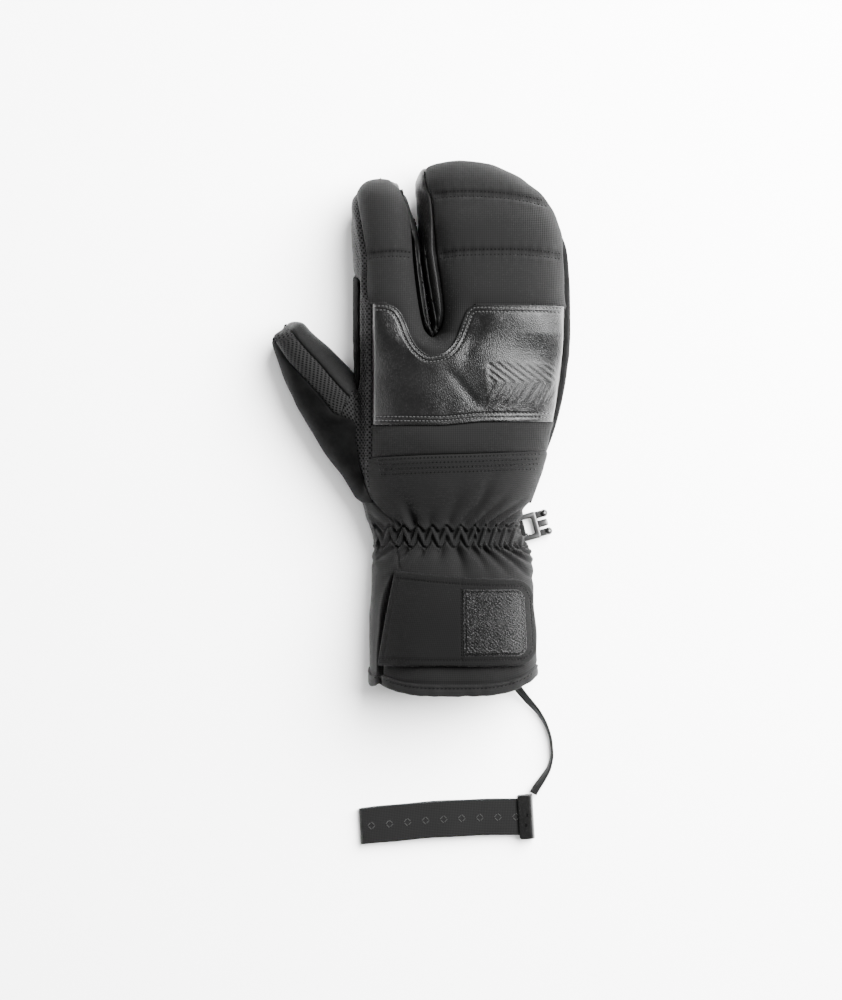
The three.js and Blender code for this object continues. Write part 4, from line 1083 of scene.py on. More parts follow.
def makeFourchette():
    # one wall on each side of the slot
    grids = []
    for shape, seamX, side in ((shapeA, slotLeftX, 1), (shapeB, slotRightX, -1)):
        rows = np.concatenate([np.linspace(112.0, 150, 60)[:-1], rowsOf(shape, 150, 110)])
        section = sectionOf(shape, rows)
        start = angleAtX(section, seamX(rows))
        low = angleAtZ(section, mitt["edgeZ"])
        end = -low if side > 0 else math.pi + low
        grid = gridOn(shape, rows, start, end, spacing(54))
        apart = side * fourchette["apart"]
        middle = cleftX(rows)[:, None] - apart
        x = grid[..., 0]
        grid[..., 0] = np.minimum(x, middle) if side > 0 else np.maximum(x, middle)
        # Between the seam and the cleft or the outline the wall is rolled over like a tube:
        # z falls from the seam's height by 1 - sqrt(1 - share^3) of the way to the cleft's
        edge, high = grid[:, :1, 0], grid[:, :1, 2]
        far = np.where(side > 0, np.minimum(section["right"], cleftX(rows)),
                       np.maximum(section["left"], cleftX(rows)))[:, None] - apart
        share = np.clip((grid[..., 0] - edge) / (far - edge + side * 1e-3), 0, 1)
        reached = share > 0.985
        first = np.argmax(reached, axis=1)
        deep = grid[np.arange(len(rows)), first, 2][:, None]
        wide = np.clip(np.abs(far - edge) / 4, 0, 1)
        deep = np.minimum(deep, high - 0.3) - fourchette["drop"] * wide
        tube = high + (deep - high) * (1 - np.sqrt(1 - share**3))
        tube += fourchette["roll"] * wide * np.sin(np.pi * share**0.8)
        near = bell(rows[:, None] - fourchette["foldAt"], 3.6)
        turn = 2 * np.pi * (0.8 * share + side * (rows[:, None] - fourchette["foldAt"]) / 8)
        tube += fourchette["fold"] * near * np.cos(turn) * np.sin(np.pi * share)
        rolled = np.where(reached, np.minimum(grid[..., 2], deep), tube)
        # where the two stalls part at their tips, the wall follows the stall's own round side
        parted = smoothstep(*fourchette["partsOver"], rows)[:, None]
        grid[..., 2] = rolled + parted * (grid[..., 2] - rolled)
        deeper = np.clip((rows[-1] - rows - 7) / 10, 0, 1)[:, None, None]
        tucked = grid[:, :1] - deeper * [side * 1.8, 0, 1.9]
        grids.append(np.concatenate([tucked, grid], 1))

    def pinched(p):
        top = smoothstep(4, 9, p[:, 2])
        return -seamPinch * top * bell(distanceTo(p, seamLines["slot"]), 0.9) + 0.12 * ripple(p, 9, 5)

    core = [-26.0, 150.0, 18.0], [24.0, 160.0, 18.0]  # inside each stall
    for grid, middle, name in zip(grids, core, ("left", "right")):
        mesh = buildMesh("fourchette_" + name, [grid], core=middle)
        pushOut(mesh, pinched)
        piece = addObject("fourchette_" + name, mesh, materials["wall_leather"],
                          "finger_fourchette")
        addWall(piece, fourchette["thickness"])


def thumbGrid(along, angle, touch=False):
    # along and angle are arrays of rows by columns in the thumb's own frame
    local = sectionPoint(sectionOf(shapeT, along), angle, along)
    grid = thumbToPlan(local)
    if touch:
        x, y, z = grid[..., 0], grid[..., 1], grid[..., 2]
        section = sectionOf(shapeA, y)
        inside = (x > section["left"]) & (y < 100)
        hand = np.where(inside, upperZ(section, x), 0)
        upper = (np.sin(angle) > 0) & (x > -62)
        grid[..., 2] = np.where(upper, smoothMax(z, hand, thumb["fillet"]), z)
    return grid


def alongLine(points, count):
    # evenly spaced points on a line of (along, across) shares, as along and angle
    points = np.array(points) * [thumb["length"], thumb["width"]]
    walk = walkOf(points)
    place = np.linspace(0, walk[-1], count)
    along, across = curveThrough(walk, points[:, 0])(place), curveThrough(walk, points[:, 1])(place)
    along[-1] = shapeT["y"][-1] if points[-1, 0] > 0.98 * thumb["length"] else along[-1]
    return along, angleAtX(sectionOf(shapeT, along), across)


thumbPiece = {
    "bulge": 0.5, "thickness": 1.3, "noise": {"back": 0.15, "side": 0.2, "palm": 0.35},
    "corner": ((-97.8, 112.1), 3.4, (-1.3, 1.1, 0.0)),  # a blunt tip: where, how wide, how far out
    "peak": ((-100.9, 110.8), 1.5, (2.4, -0.9, -2.5)),  # the strip's own end, drawn in to it
}
innerTip = [[0.235, 0.024], [0.289, -0.062], [0.42, -0.095], [0.587, -0.166], [0.81, -0.257],
            [0.957, -0.268], [1.0, -0.05]]
outerTip = [[0.3, 0.29], [0.37, 0.25], [0.5, 0.195], [0.633, 0.15], [0.75, 0.095], [0.87, 0.054],
            [0.957, 0.035], [1.0, 0.0]]
dartStart = [[0.235, 0.024], [0.285, 0.17]]


def makeThumb():
    # three panels over angle and length in the thumb's own frame
    pieces = {}
    # The perforated strip between the two seams
    left, leftAngle = alongLine(innerTip, 110)
    right, rightAngle = alongLine(dartStart + outerTip, 110)
    share = spacing(34)[None]
    along = left[:, None] + share * (right - left)[:, None]
    angle = leftAngle[:, None] + share * (rightAngle - leftAngle)[:, None]
    pieces["back"] = [thumbGrid(along, angle)]
    # The smooth leather right of the outer seam, over the edge
    left, leftAngle = alongLine(outerTip, 100)
    v = spacing(100)
    right = 0.44 * thumb["length"] + v * (shapeT["y"][-1] - 0.44 * thumb["length"])
    rightAngle = np.full(100, math.radians(-35.0))
    along = left[:, None] + share * (right - left)[:, None]
    angle = leftAngle[:, None] + share * (rightAngle - leftAngle)[:, None]
    pieces["side"] = [thumbGrid(along, angle)]
    # The suede from the inner seam round below to the outer side, and down over the heel
    rows = np.concatenate([np.linspace(-28.0, 40, 90)[:-1], rowsOf(shapeT, 40, 70)])
    start = angleAtX(
        sectionOf(shapeT, rows),
        curveThrough(thumbInner["along"], thumbInner["across"])(rows / thumb["length"])
        * thumb["width"],
    )
    end = math.radians(325.0)
    share = spacing(90)[None]
    angle = start[:, None] + share * (end - start)[:, None]
    pieces["palm"] = [thumbGrid(rows[:, None] + 0 * share, angle, touch=True)]
    core = list(thumbToPlan(np.array([0.0, 30.0, 14.0])))
    strip = pieces["back"][0]
    line = np.concatenate([linesOf("heel"), strip[:, 0, :2], strip[:, -1, :2]])
    for key, material, node in (
        ("back", "perforated_leather", "thumb_back"), ("side", "side_leather", "thumb_side"),
        ("palm", "suede", "thumb_palm"),
    ):
        mesh = buildMesh("thumb_" + key, pieces[key], core=core)

        def padded(p, noise=thumbPiece["noise"][key]):
            return soften(p, line, thumbPiece["bulge"], 1.6, noise, 16, 21)

        pushOut(mesh, padded)
        nudge(mesh, *thumbPiece["corner"])
        if key == "back":
            nudge(mesh, *thumbPiece["peak"])
        piece = addObject("thumb_panel_" + key, mesh, materials[material], node)
        addWall(piece, thumbPiece["thickness"])


palmPiece = {"thickness": 1.3, "heelFrom": 20.4, "indexFrom": 81.5}  # y where its two halves start


def makePalm():
    # the whole underside of the hand and the three-finger stall, up to the little finger's seam
    rows = np.linspace(palmPiece["heelFrom"], 120, 120)[:-1]
    rows = np.concatenate([rows, rowsOf(shapeB, 120, 110)])
    section = sectionOf(shapeB, rows)
    start = angleAtX(section, littleSeamX(rows))
    low = -math.pi + angleAtZ(section, mitt["edgeZ"])
    heel = angleAtX(section, heelSeamX(rows)) - 2 * math.pi
    share = smoothstep(60, 75, rows)
    end = heel * (1 - share) + low * share
    whole = gridOn(shapeB, rows, start, end, spacing(110))
    # the index stall's underside, with the strip that shows beside the gusset
    rows = np.linspace(palmPiece["indexFrom"], 120, 60)[:-1]
    rows = np.concatenate([rows, rowsOf(shapeA, 120, 130)])
    section = sectionOf(shapeA, rows)
    right = -angleAtZ(section, mitt["edgeZ"])
    share = smoothstep(100, 114, rows)
    start = (-math.pi / 2 - 0.6) * (1 - share) + right * share
    end = indexLower(rows, section) - 2 * math.pi
    index = gridOn(shapeA, rows, start, end, spacing(60))
    mesh = buildMesh("palm", [whole, index])
    line = linesOf("little", "palmEdge")

    def shaped(p):
        strip = smoothstep(-50, -53, p[:, 0]) * (p[:, 1] > 81) * (p[:, 1] < 149)
        d = distanceTo(p, line)
        seam = (1 - 0.6 * strip) * bell(d, 0.9)
        return 0.2 + 0.2 * strip - (seamPinch + 0.2) * seam

    pushOut(mesh, shaped)
    piece = addObject("leather_palm", mesh, materials["suede"], "palm")
    addWall(piece, palmPiece["thickness"])


fingerBackPiece = makeFingerBack()
knucklePiece = makeKnucklePanel()
makeHandBack()
makeIndexSide()
makeFourchette()
makeThumb()
makePalm()
print("hand panels made")


# The gauntlet
def hemY(angle):
    # the hem: highest at the two sides, and lower at the slit
    sweep = 0.117 * np.abs(np.cos(angle)) ** 3
    palmSweep = np.where(np.sin(angle) < 0, 0.052 * np.sin(angle) ** 2, 0)
    ventDrop = 0.055 * bell(angle - math.radians(169), 0.3)
    return -mitt["gauntletLength"] * (1 - sweep - palmSweep + ventDrop)


def gauntletSeamY(angle):
    # angle from -90 to 270 degrees
    low, high = gauntletSeamBack
    back = low + (high - low) * (1 + np.cos(angle)) / 2
    degrees = np.degrees(angle)
    onBack = smoothstep(-30, -8, degrees) * (1 - smoothstep(150, 166, degrees))
    return (gauntletSeamPalm + (back - gauntletSeamPalm) * onBack) * handLength


gather = {
    "low": -2.3, "high": 5.65, "pitch": 7.85, "start": -23.4,  # zigzag of the elastic, mm
    "rope": 1.25, "depth": 2.0, "upper": 4.6, "lower": -0.6, "crease": 2.5, "seed": 5,
}
creaseRandom = np.random.default_rng(gather["seed"]).uniform(0, 1, (64, 4))


def bodyAngle(points):
    # angle round the body's section of points on or near it
    section = bodySection(points[:, 1])
    middle = (section["left"] + section["right"]) / 2
    half = (section["right"] - section["left"]) / 2
    return np.arctan2((points[:, 2] - levelOf(section)) / 20, (points[:, 0] - middle) / half)


def gathered(points):
    # A rope of cloth zigzags over a sunk floor. The cloth above and below it ends in lobes whose
    # tips point into the zigzag, and creases run from the rope's corners like rays.
    y = points[:, 1]
    x = points[:, 0] + 0.35 * np.maximum(points[:, 0] - 12, 0)
    g = gather
    span, half = g["high"] - g["low"], g["pitch"] / 2

    def beside(at, shift):
        return np.abs((at - g["start"] - shift + half) % g["pitch"] - half)

    t = (y - g["low"]) / span
    held = np.clip(t, 0, 1)
    single = smoothstep(12, 20, x)  # on the right only every second arm of the zigzag shows
    arms = 0.9 * np.minimum(beside(x, half * held), beside(x, -half * held) + 9 * single)
    rope = bell(np.hypot(arms, (t - held) * span), g["rope"], 4)
    onTop = 0.7 * (y - g["upper"] - 1.05 * beside(x, 0))
    under = 0.65 * (g["lower"] - 1.2 * beside(x, half) - y)
    lobes = np.maximum(smoothstep(-0.7, 0.5, onTop), smoothstep(-0.7, 0.5, under))
    left = 1 - 0.55 * smoothstep(-30, -34, x)
    floor = g["depth"] * (1 - 0.35 * single) * left * (1 - np.maximum(rope, lobes))
    lip = 0.4 * left * (bell(onTop - 0.9, 1) + bell(under - 0.9, 1))
    creases = np.zeros(len(points))
    for rise, centre, reach, shift, part, over in (
        (np.maximum(y - g["high"], 0), -9.7, 19, half, 0, onTop),
        (np.maximum(g["low"] - y, 0), -6.0, 17, 0.0, 2, under),
    ):
        ray = (x - centre) / (1 + rise / reach) + centre + 0.5 * np.sin(y * 0.23)
        cell = np.round((ray - g["start"] - shift) / g["pitch"]).astype(int) % 64
        depth = g["crease"] * (0.6 + 0.8 * creaseRandom[cell, part])
        length = 6.5 + 11 * creaseRandom[cell, part + 1] ** 2 + 4 * single
        valley = bell(beside(ray, shift), 0.25 * g["pitch"])
        creases -= depth * valley * bell(rise, length) * smoothstep(-0.6, 1.2, over)
    waist = -0.9 * bell(y - 2, 9)
    return 0.5 * rope * left - floor + lip + creases * left + waist


ventLine = curveThrough([0, 11, 30, 50, 66, 84], [-31.6, -35.6, -38.4, -39.6, -40.3, -40.6])
sideSeamLine = curveThrough(
    [-22, -15.7, -9, -3, 7.5, 16], [-44.8, -39.4, -33.6, -32.6, -31.0, -29.4]
)
cuff = {
    "thickness": 1.6, "vent": 2.6, "ventWidth": 1.0, "seam": 0.7, "hemDip": 0.6, "hemAt": 6.9,
    "liningEnd": 96.0, "liningInset": 3.6,
}


def gauntletShape(points):
    # how far the cloth stands off its section: gathers, folds, slit and seams
    x, y = points[:, 0], points[:, 1]
    angle = bodyAngle(points)
    onBack = smoothstep(-0.5, 0.15, np.sin(angle))
    inner = np.cos(angle * 18) * bell(y - 3, 9)
    folds = gathered(points) * onBack + (1 - onBack) * 1.1 * inner
    soft = 0.45 * ripple(points, 26, 17) * smoothstep(-10, -22, y)
    # the slit beside the strap, and the seam that comes down to it
    depth = -(y + 19)
    vent = bell(np.abs(x - ventLine(depth)), cuff["ventWidth"]) * (y < -15)
    vent *= cuff["vent"] * smoothstep(0, 8, depth + 4)
    seam = bell(np.abs(x - sideSeamLine(-y)), 0.9) * (y > -16) * (y < 22)
    edge = 0.6 * bell(np.abs(x - ventLine(depth) + 2.2), 1.2) * (y < -19)
    line = seamDip(distanceTo(points, backSeamLine), 1.6)
    turned = np.mod(angle + math.pi / 2, 2 * math.pi) - math.pi / 2
    fromTape = np.abs(y - hemY(turned) - cuff["hemAt"])
    line -= cuff["hemDip"] * bell(fromTape, 0.8)  # the hem tape draws the cloth in
    return folds + soft + edge + line - onBack * (vent + cuff["seam"] * seam)


def gauntletGrid(rows, columns, start, end, grow):
    # rows lie closer together at the gathers, columns on the back
    angle = (-math.pi / 2 + 2 * math.pi * packed(columns, 0.5, 0.28, 1.2))[None]
    low, high = hemY(angle) + start, gauntletSeamY(angle) + end
    y = low + packed(rows, 0.66, 0.1, 3.0)[:, None] * (high - low)
    return sectionPoint(bodySection(y), angle, y, grow)


def makeGauntlet():
    # the outer tube, and the lining inside it
    mesh = buildMesh("gauntlet", [gauntletGrid(250, 460, 1.5, 0.0, 0.0)], core=[0, -20, 20])
    pushOut(mesh, gauntletShape)
    piece = addObject("cloth_gauntlet", mesh, materials["shell_cloth"], "gauntlet")
    addWall(piece, cuff["thickness"])
    # the lining: a sleeve inside it, closed at its far end
    angle = np.linspace(-math.pi / 2, 1.5 * math.pi, 97)[None]
    low = hemY(angle) + 3.0
    y = low + spacing(60)[:, None] * (cuff["liningEnd"] - low)
    grid = sectionPoint(bodySection(np.minimum(y, 88)), angle, y, -cuff["liningInset"])
    far = np.repeat(grid[-1:].mean(1, keepdims=True), grid.shape[1], 1)
    closing = grid[-1:] + spacing(6)[1:, None, None] * (far - grid[-1:])
    grid = np.concatenate([grid, closing])
    mesh = buildMesh("cuff_lining", [grid], core=[0, 20, 20], inward=True)
    pushOut(mesh, lambda p: 0.4 * ripple(p, 17, 4) + 0.5 * np.cos(p[:, 0] * 0.5))
    addObject("cuff_lining", mesh, materials["lining"], "gauntlet")
    return piece


binding = {"width": 6.2, "worn": 0.22, "notch": 2.0, "notchAt": -40.6}  # the notch is the slit's


def makeBinding():
    # Tape rolled round the hem: out over the cloth, round the edge, and back along the inside
    b = binding
    turn = np.linspace(0, np.pi, 9)
    profile = np.concatenate([
        [[b["width"] + 0.1, -0.4], [b["width"] - 0.1, 0.3], [b["width"] - 0.6, 0.7]],
        [[b["width"] - 1.8, 0.45], [3.2, 0.75], [2.0, 0.75]],
        np.stack([1.2 - 1.2 * np.sin(turn), -0.75 + 1.5 * np.cos(turn)], -1),
        [[2.5, -2.2], [5.0, -2.4], [b["width"], -2.4]],
    ])
    walk = walkOf(profile)
    places = np.linspace(0, walk[-1], 46)
    offset, grow = (np.interp(places, walk, profile[:, i])[:, None] for i in (0, 1))
    angle = np.linspace(-math.pi / 2, 1.5 * math.pi, 400)[None]
    y = hemY(angle) + offset
    grid = sectionPoint(bodySection(y), angle, y, grow)
    mesh = buildMesh("cuff_binding", [grid], core=[0, -80, 20])

    def worn(points):
        x = points[:, 0]
        notch = bell(x - b["notchAt"], 1.1) * (points[:, 2] > 15)
        return b["worn"] * ripple(points, 9, 31) - b["notch"] * notch

    pushOut(mesh, worn)
    return addObject("tape_hem", mesh, materials["binding_cloth"], "cuff_binding")


# The strap lies on the gauntlet's back: arc is the length from the left side over the section
strap = {
    "middle": -0.528, "height": 47.0, "thickness": 2.4, "corner": 13.0, "tilt": 5.0, "gap": 0.5,
    "end": 0.478, "sag": 1.2, "inset": 3.6,  # mm that its upper edge sags, and to its stitches
    "seamAt": 4.1, "seamHalf": 19.5,  # x and half length of the seam beside the grip pad
}
pad = {
    "length": 34.0, "height": 36.5, "thickness": 1.4, "corner": 6.0, "left": 0.051, "rim": 0.7,
    "pebble": 0.13, "pebblesAlong": 2.3, "pebblesUp": 2.1,
}
strapY = strap["middle"] * mitt["gauntletLength"]
arcAngles = np.linspace(math.pi, -0.3, 500)
arcSection = bodySection(np.array(strapY))
arcPoints = sectionPoint(arcSection, arcAngles, np.zeros(500))
arcLength = np.pad(np.cumsum(np.linalg.norm(np.diff(arcPoints, axis=0), axis=1)), (1, 0))


def onGauntlet(arc, y, lift):
    # a point at an arc length round the back, lift above the cloth
    angle = np.interp(arc, arcLength, arcAngles)
    return sectionPoint(bodySection(y), angle, y, lift)


def arcAtX(x):
    # the arc length at which the strap's section has this x
    return np.interp(x, arcPoints[:400, 0], arcLength[:400])


def roundedHalf(half, corner, distance):
    # half a width, rounded off by a quarter circle near its end
    short = np.maximum(corner - distance, 0)
    return half - corner + np.sqrt(np.maximum(corner**2 - short**2, 0))


def strapPlace(u, v, inset=0.0):
    # arc, y, distance to the free end and half width at shares u along and v up the strap
    left = arcAtX((-0.425 + 0.08 * v) * mitt["cuffWidth"])
    end = arcAtX(strap["end"] * mitt["cuffWidth"]) - inset
    arc = left + (end - left) * u
    half = roundedHalf(strap["height"] / 2 - inset, strap["corner"] - inset, end - arc)
    middle = strapY + v * strap["tilt"] * (1 - u) - v * strap["sag"] * np.sin(np.pi * u)
    return arc, middle + (2 * v - 1) * half, end - arc, half


def liftProfile(d, thickness, radius):
    # a cloth edge: up over a quarter circle of the given radius
    t = np.clip(1 - d / radius, 0, 1)
    return thickness - radius + radius * np.sqrt(1 - t * t)


def makeStrap():
    # a rounded slab on the gauntlet, with a groove for its stitches and one seam across
    u, v = spacing(190, ends=0.4)[None], spacing(96, ends=0.4)[:, None]
    arc, y, fromEnd, half = strapPlace(u, v)
    length = arc.max() - arc.min()
    d = np.minimum((1 - np.abs(2 * v - 1)) * half, np.minimum(fromEnd, u * length))
    lift = liftProfile(d, strap["thickness"], 1.1)
    lift -= 0.22 * bell(d - strap["inset"], 0.6)
    seamAt = bell(arc - arcAtX(strap["seamAt"]), 0.6) * 0.2
    grid = onGauntlet(arc, y, strap["gap"] + lift - seamAt)
    skirt = onGauntlet(arc, y, 0 * lift + 0.1)
    mesh = buildMesh("wrist_strap", [rimmed(grid, skirt)], core=[0, -44, 10])
    pushOut(mesh, lambda p: 0.3 * ripple(p, 30, 12))
    return addObject("cloth_strap", mesh, materials["strap_cloth"], "wrist_strap")


def rimmed(top, skirt):
    # the surface with one more row and column all round, down on what it lies on
    rows, columns = top.shape[:2]
    grid = np.zeros((rows + 2, columns + 2, 3))
    grid[1:-1, 1:-1] = top
    grid[0, 1:-1], grid[-1, 1:-1] = skirt[0], skirt[-1]
    grid[1:-1, 0], grid[1:-1, -1] = skirt[:, 0], skirt[:, -1]
    grid[0, 0], grid[0, -1] = skirt[0, 0], skirt[0, -1]
    grid[-1, 0], grid[-1, -1] = skirt[-1, 0], skirt[-1, -1]
    return grid


def padPlace(u, v):
    # the same four for the grip pad
    left = arcAtX(pad["left"] * mitt["cuffWidth"])
    arc = left + pad["length"] * u
    half = roundedHalf(pad["height"] / 2, pad["corner"], left + pad["length"] - arc)
    return arc, strapY + (2 * v - 1) * half, left + pad["length"] - arc, half


def makePad():
    # bumps = sin(arc) sin(y), each bent by the other, inside a stitched rim
    u, v = spacing(120, ends=0.4)[None], spacing(124, ends=0.4)[:, None]
    arc, y, fromEnd, half = padPlace(u, v)
    d = np.minimum((1 - np.abs(2 * v - 1)) * half, np.minimum(fromEnd, u * pad["length"]))
    lift = liftProfile(d, pad["thickness"], 1.0)
    lift -= 0.45 * bell(d - 1.2, 0.6)
    base = strap["gap"] + strap["thickness"] - pad["rim"]
    inside = smoothstep(1.4, 3.0, d)
    bumps = pad["pebble"] * np.sin(arc * 2 * np.pi / pad["pebblesAlong"] + 0.9 * np.sin(y * 1.3))
    bumps = bumps * np.sin(y * 2 * np.pi / pad["pebblesUp"] + 1.1 * np.sin(arc * 1.1))
    grid = onGauntlet(arc, y, base + lift + bumps * inside)
    skirt = onGauntlet(arc, y, base + 0 * lift - 0.3)
    mesh = buildMesh("strap_grip_pad", [rimmed(grid, skirt)], core=[20, -44, 10])
    return addObject("pad_pebbled", mesh, materials["grip_rubber"], "strap_grip_pad")


# The clip and its tab
clip = {
    "width": 15.0, "thickness": 3.2, "bar": 3.2, "slot": 6.0, "hold": 2.2, "sides": 3.0,
    "reach": 5.1, "above": 7.7, "turn": 15.0, "bevel": 0.8,
    "prong": 5.4, "prongWidth": 3.8, "ball": 2.15, "ribs": 3, "ribPitch": 1.3, "ribWidth": 1.1,
}
tab = {"width": 8.5, "thickness": 0.9, "tail": 1.8, "gap": 0.3}
clipAt = np.array([
    wristRows["right"][1] * mitt["wristWidth"] + clip["reach"], clip["above"],
    clip["thickness"] / 2 + tab["gap"] + tab["thickness"] + 0.3,
])


def boxOutline(left, right, bottom, top, radius, count=9):
    # a rectangle with rounded corners, anticlockwise
    turn = np.linspace(0, math.pi / 2, count)
    corners = [(right - radius, top - radius, 0), (left + radius, top - radius, 1),
               (left + radius, bottom + radius, 2), (right - radius, bottom + radius, 3)]
    return np.concatenate([
        np.stack([x + radius * np.cos(turn + k * math.pi / 2),
                  y + radius * np.sin(turn + k * math.pi / 2)], -1)
        for x, y, k in corners
    ])


def spinOf(degrees):
    # the matrix that turns row points about z
    c, s = math.cos(math.radians(degrees)), math.sin(math.radians(degrees))
    return np.array([[c, s, 0], [-s, c, 0], [0, 0, 1]])


def atClip(points):
    # from the clip's own frame to its place, turned
    return points @ spinOf(clip["turn"]) + clipAt


def plateMesh(outlines, thickness, bevel, place):
    # outlines: an outer line and its holes, made solid with rounded edges by a curve
    curve = bpy.data.curves.new("plate", "CURVE")
    curve.dimensions = "2D"
    curve.fill_mode = "BOTH"
    curve.extrude = thickness / 2 - bevel
    curve.bevel_depth = bevel
    curve.bevel_resolution = 3
    curve.offset = -bevel
    for outline in outlines:
        spline = curve.splines.new("POLY")
        spline.points.add(len(outline) - 1)
        flat = np.concatenate([outline, np.zeros((len(outline), 1)), np.ones((len(outline), 1))], 1)
        spline.points.foreach_set("co", flat.ravel())
        spline.use_cyclic_u = True
    holder = bpy.data.objects.new("plate", curve)
    bpy.context.scene.collection.objects.link(holder)
    bpy.context.view_layer.update()
    mesh = bpy.data.meshes.new_from_object(holder)
    bpy.data.objects.remove(holder)
    bpy.data.curves.remove(curve)
    flat = np.zeros(len(mesh.vertices) * 3, np.float32)
    mesh.vertices.foreach_get("co", flat)
    placePoints(mesh, place(flat.reshape(-1, 3).astype(float)))
    return mesh


def joinMeshes(meshes, name):
    # several solids as one mesh with its hard edges kept
    joined = bmesh.new()
    for mesh in meshes:
        joined.from_mesh(mesh)
        bpy.data.meshes.remove(mesh)
    bmesh.ops.remove_doubles(joined, verts=joined.verts, dist=1e-6)
    bmesh.ops.recalc_face_normals(joined, faces=joined.faces)
    result = bpy.data.meshes.new(name)
    joined.to_mesh(result)
    joined.free()
    result.shade_smooth()
    result.set_sharp_from_angle(angle=math.radians(40))
    return result


def makeClip():
    # a frame round a slot, three prongs with two round ends, and a ribbed catch
    c = clip
    left, half = -c["slot"] - c["hold"], c["width"] / 2
    frameLines = [
        boxOutline(left, c["bar"], -half, half, 1.6),
        boxOutline(-c["slot"], 0, -half + c["sides"], half - c["sides"], 1.0),
    ]
    meshes = [plateMesh(frameLines, c["thickness"], c["bevel"], atClip)]
    for side in (-1, 0, 1):
        middle = side * (half - c["prongWidth"] / 2 - 0.4)
        reach = c["bar"] + c["prong"]
        line = boxOutline(c["bar"] - 1.2, reach, middle - c["prongWidth"] / 2,
                          middle + c["prongWidth"] / 2, 1.4 if side else 0.9)
        meshes.append(plateMesh([line], c["thickness"] * 0.8, 0.85, atClip))
        if side:
            meshes.append(ballMesh([reach - 0.9, middle, 0.6], c["ball"]))
    for step in range(c["ribs"]):
        # a ribbed catch on the slot's lower side
        right = -c["slot"] + 0.9 + c["ribPitch"] * step
        line = boxOutline(right - c["ribWidth"], right, -half + 1.0, -half + 5.4 - step, 0.5)
        meshes.append(plateMesh([line], c["thickness"] * 0.8, 0.3, atClip))
    return addObject("clip_frame", joinMeshes(meshes, "glove_clip"), materials["clip_plastic"],
                     "glove_clip")


def ballMesh(centre, radius):
    # a sphere at a place on the clip
    ball = bmesh.new()
    bmesh.ops.create_uvsphere(ball, u_segments=20, v_segments=12, radius=radius)
    points = np.array([v.co for v in ball.verts]) + centre
    for vertex, place in zip(ball.verts, toRow(atClip(points))):
        vertex.co = place
    mesh = bpy.data.meshes.new("ball")
    ball.to_mesh(mesh)
    ball.free()
    return mesh


def makeTab():
    # a loop of tape round the clip's holding bar
    c, t = clip, tab
    room = c["thickness"] / 2 + t["gap"]
    left, right = -c["slot"] - c["hold"] - t["gap"], -c["slot"] + t["gap"]
    outer = boxOutline(left - t["thickness"] - t["tail"], right + t["thickness"],
                       -room - t["thickness"], room + t["thickness"], t["thickness"], 12)
    walk = spacing(24)[:, None]
    wide = (walk - 0.5) * t["width"]
    loop = np.concatenate([outer, outer[:1]])
    grid = np.stack([loop[None, :, 0] + 0 * wide, wide + 0 * loop[None, :, 0],
                     loop[None, :, 1] + 0 * wide], -1)
    mesh = buildMesh("clip_tab", [atClip(grid)], core=atClip(np.array([(left + right) / 2, 0, 0])))
    piece = addObject("tape_tab", mesh, materials["binding_cloth"], "clip_tab")
    addWall(piece, t["thickness"])


# The leash and the wrist loop
leash = {"width": 4.4, "thickness": 1.7}
leashRoute = table("x y z turn", [
    [23, -60, 5.4, 0], [26, -66, 5.6, 0], [30.4, -74, 6.4, 5], [35, -81, 6.6, 12],
    [41, -88.6, 4.6, 30], [48.4, -97.2, 2.6, 60], [52.8, -105, 2.4, 80], [55.1, -113, 2.4, 90],
    [55.6, -120, 2.4, 85], [54.2, -127, 2.4, 70], [50.6, -133.4, 2.6, 45], [47, -138.6, 3, 20],
    [45, -142, 3.2, 10],
])


def makeLeash():
    # a flat rounded section, carried along the route and turned by its table
    route = np.stack([leashRoute[key] for key in "xyz"], -1)
    walk = np.pad(np.cumsum(np.linalg.norm(np.diff(route, axis=0), axis=1)), (1, 0))
    places = np.linspace(0, walk[-1], 180)
    centre = np.stack([curveThrough(walk, route[:, i])(places) for i in range(3)], -1)
    turn = np.radians(curveThrough(walk, leashRoute["turn"])(places))[:, None]
    along = np.gradient(centre, axis=0)
    along /= np.linalg.norm(along, axis=1)[:, None]
    flat = np.cross(along, [0, 0, 1.0])
    flat /= np.linalg.norm(flat, axis=1)[:, None]
    raised = np.cross(along, flat)
    wide = flat * np.cos(turn) + raised * np.sin(turn)
    thin = np.cross(wide, along)
    angle = np.linspace(0, 2 * np.pi, 29)
    c, s = np.cos(angle), np.sin(angle)
    across = leash["width"] / 2 * np.sign(c) * np.abs(c) ** 0.6
    up = leash["thickness"] / 2 * np.sign(s) * np.abs(s) ** 0.8
    grid = centre[:, None] + wide[:, None] * across[None, :, None] + thin[:, None] * up[None, :, None]
    ends = [np.repeat(grid[[i]].mean(1, keepdims=True), len(angle), 1) for i in (0, -1)]
    grid = np.concatenate([ends[0], grid, ends[1]])
    mesh = tubeMesh("leash_tape", grid)
    piece = addObject("tape_leash", mesh, materials["webbing"], "leash_tape")


def tubeMesh(name, grid):
    # a grid closed round itself; its faces look away from each row's middle
    mesh = buildMesh(name, [grid], weld=0.005)
    turned = bmesh.new()
    turned.from_mesh(mesh)
    bmesh.ops.recalc_face_normals(turned, faces=turned.faces)
    turned.to_mesh(mesh)
    turned.free()
    return mesh


band = {
    "width": 20.0, "length": 95.4, "thickness": 1.3, "gap": 2.4, "bow": 7.4, "turn": 3.4, "bend": 1.6,
}
keeper = {"x": 43.4, "y": -154.8, "width": 7.5, "overhang": 2.2, "thickness": 1.0}
bandFold = band["thickness"] + band["gap"] / 2
bandEnd = 2 * band["thickness"] + 1.0


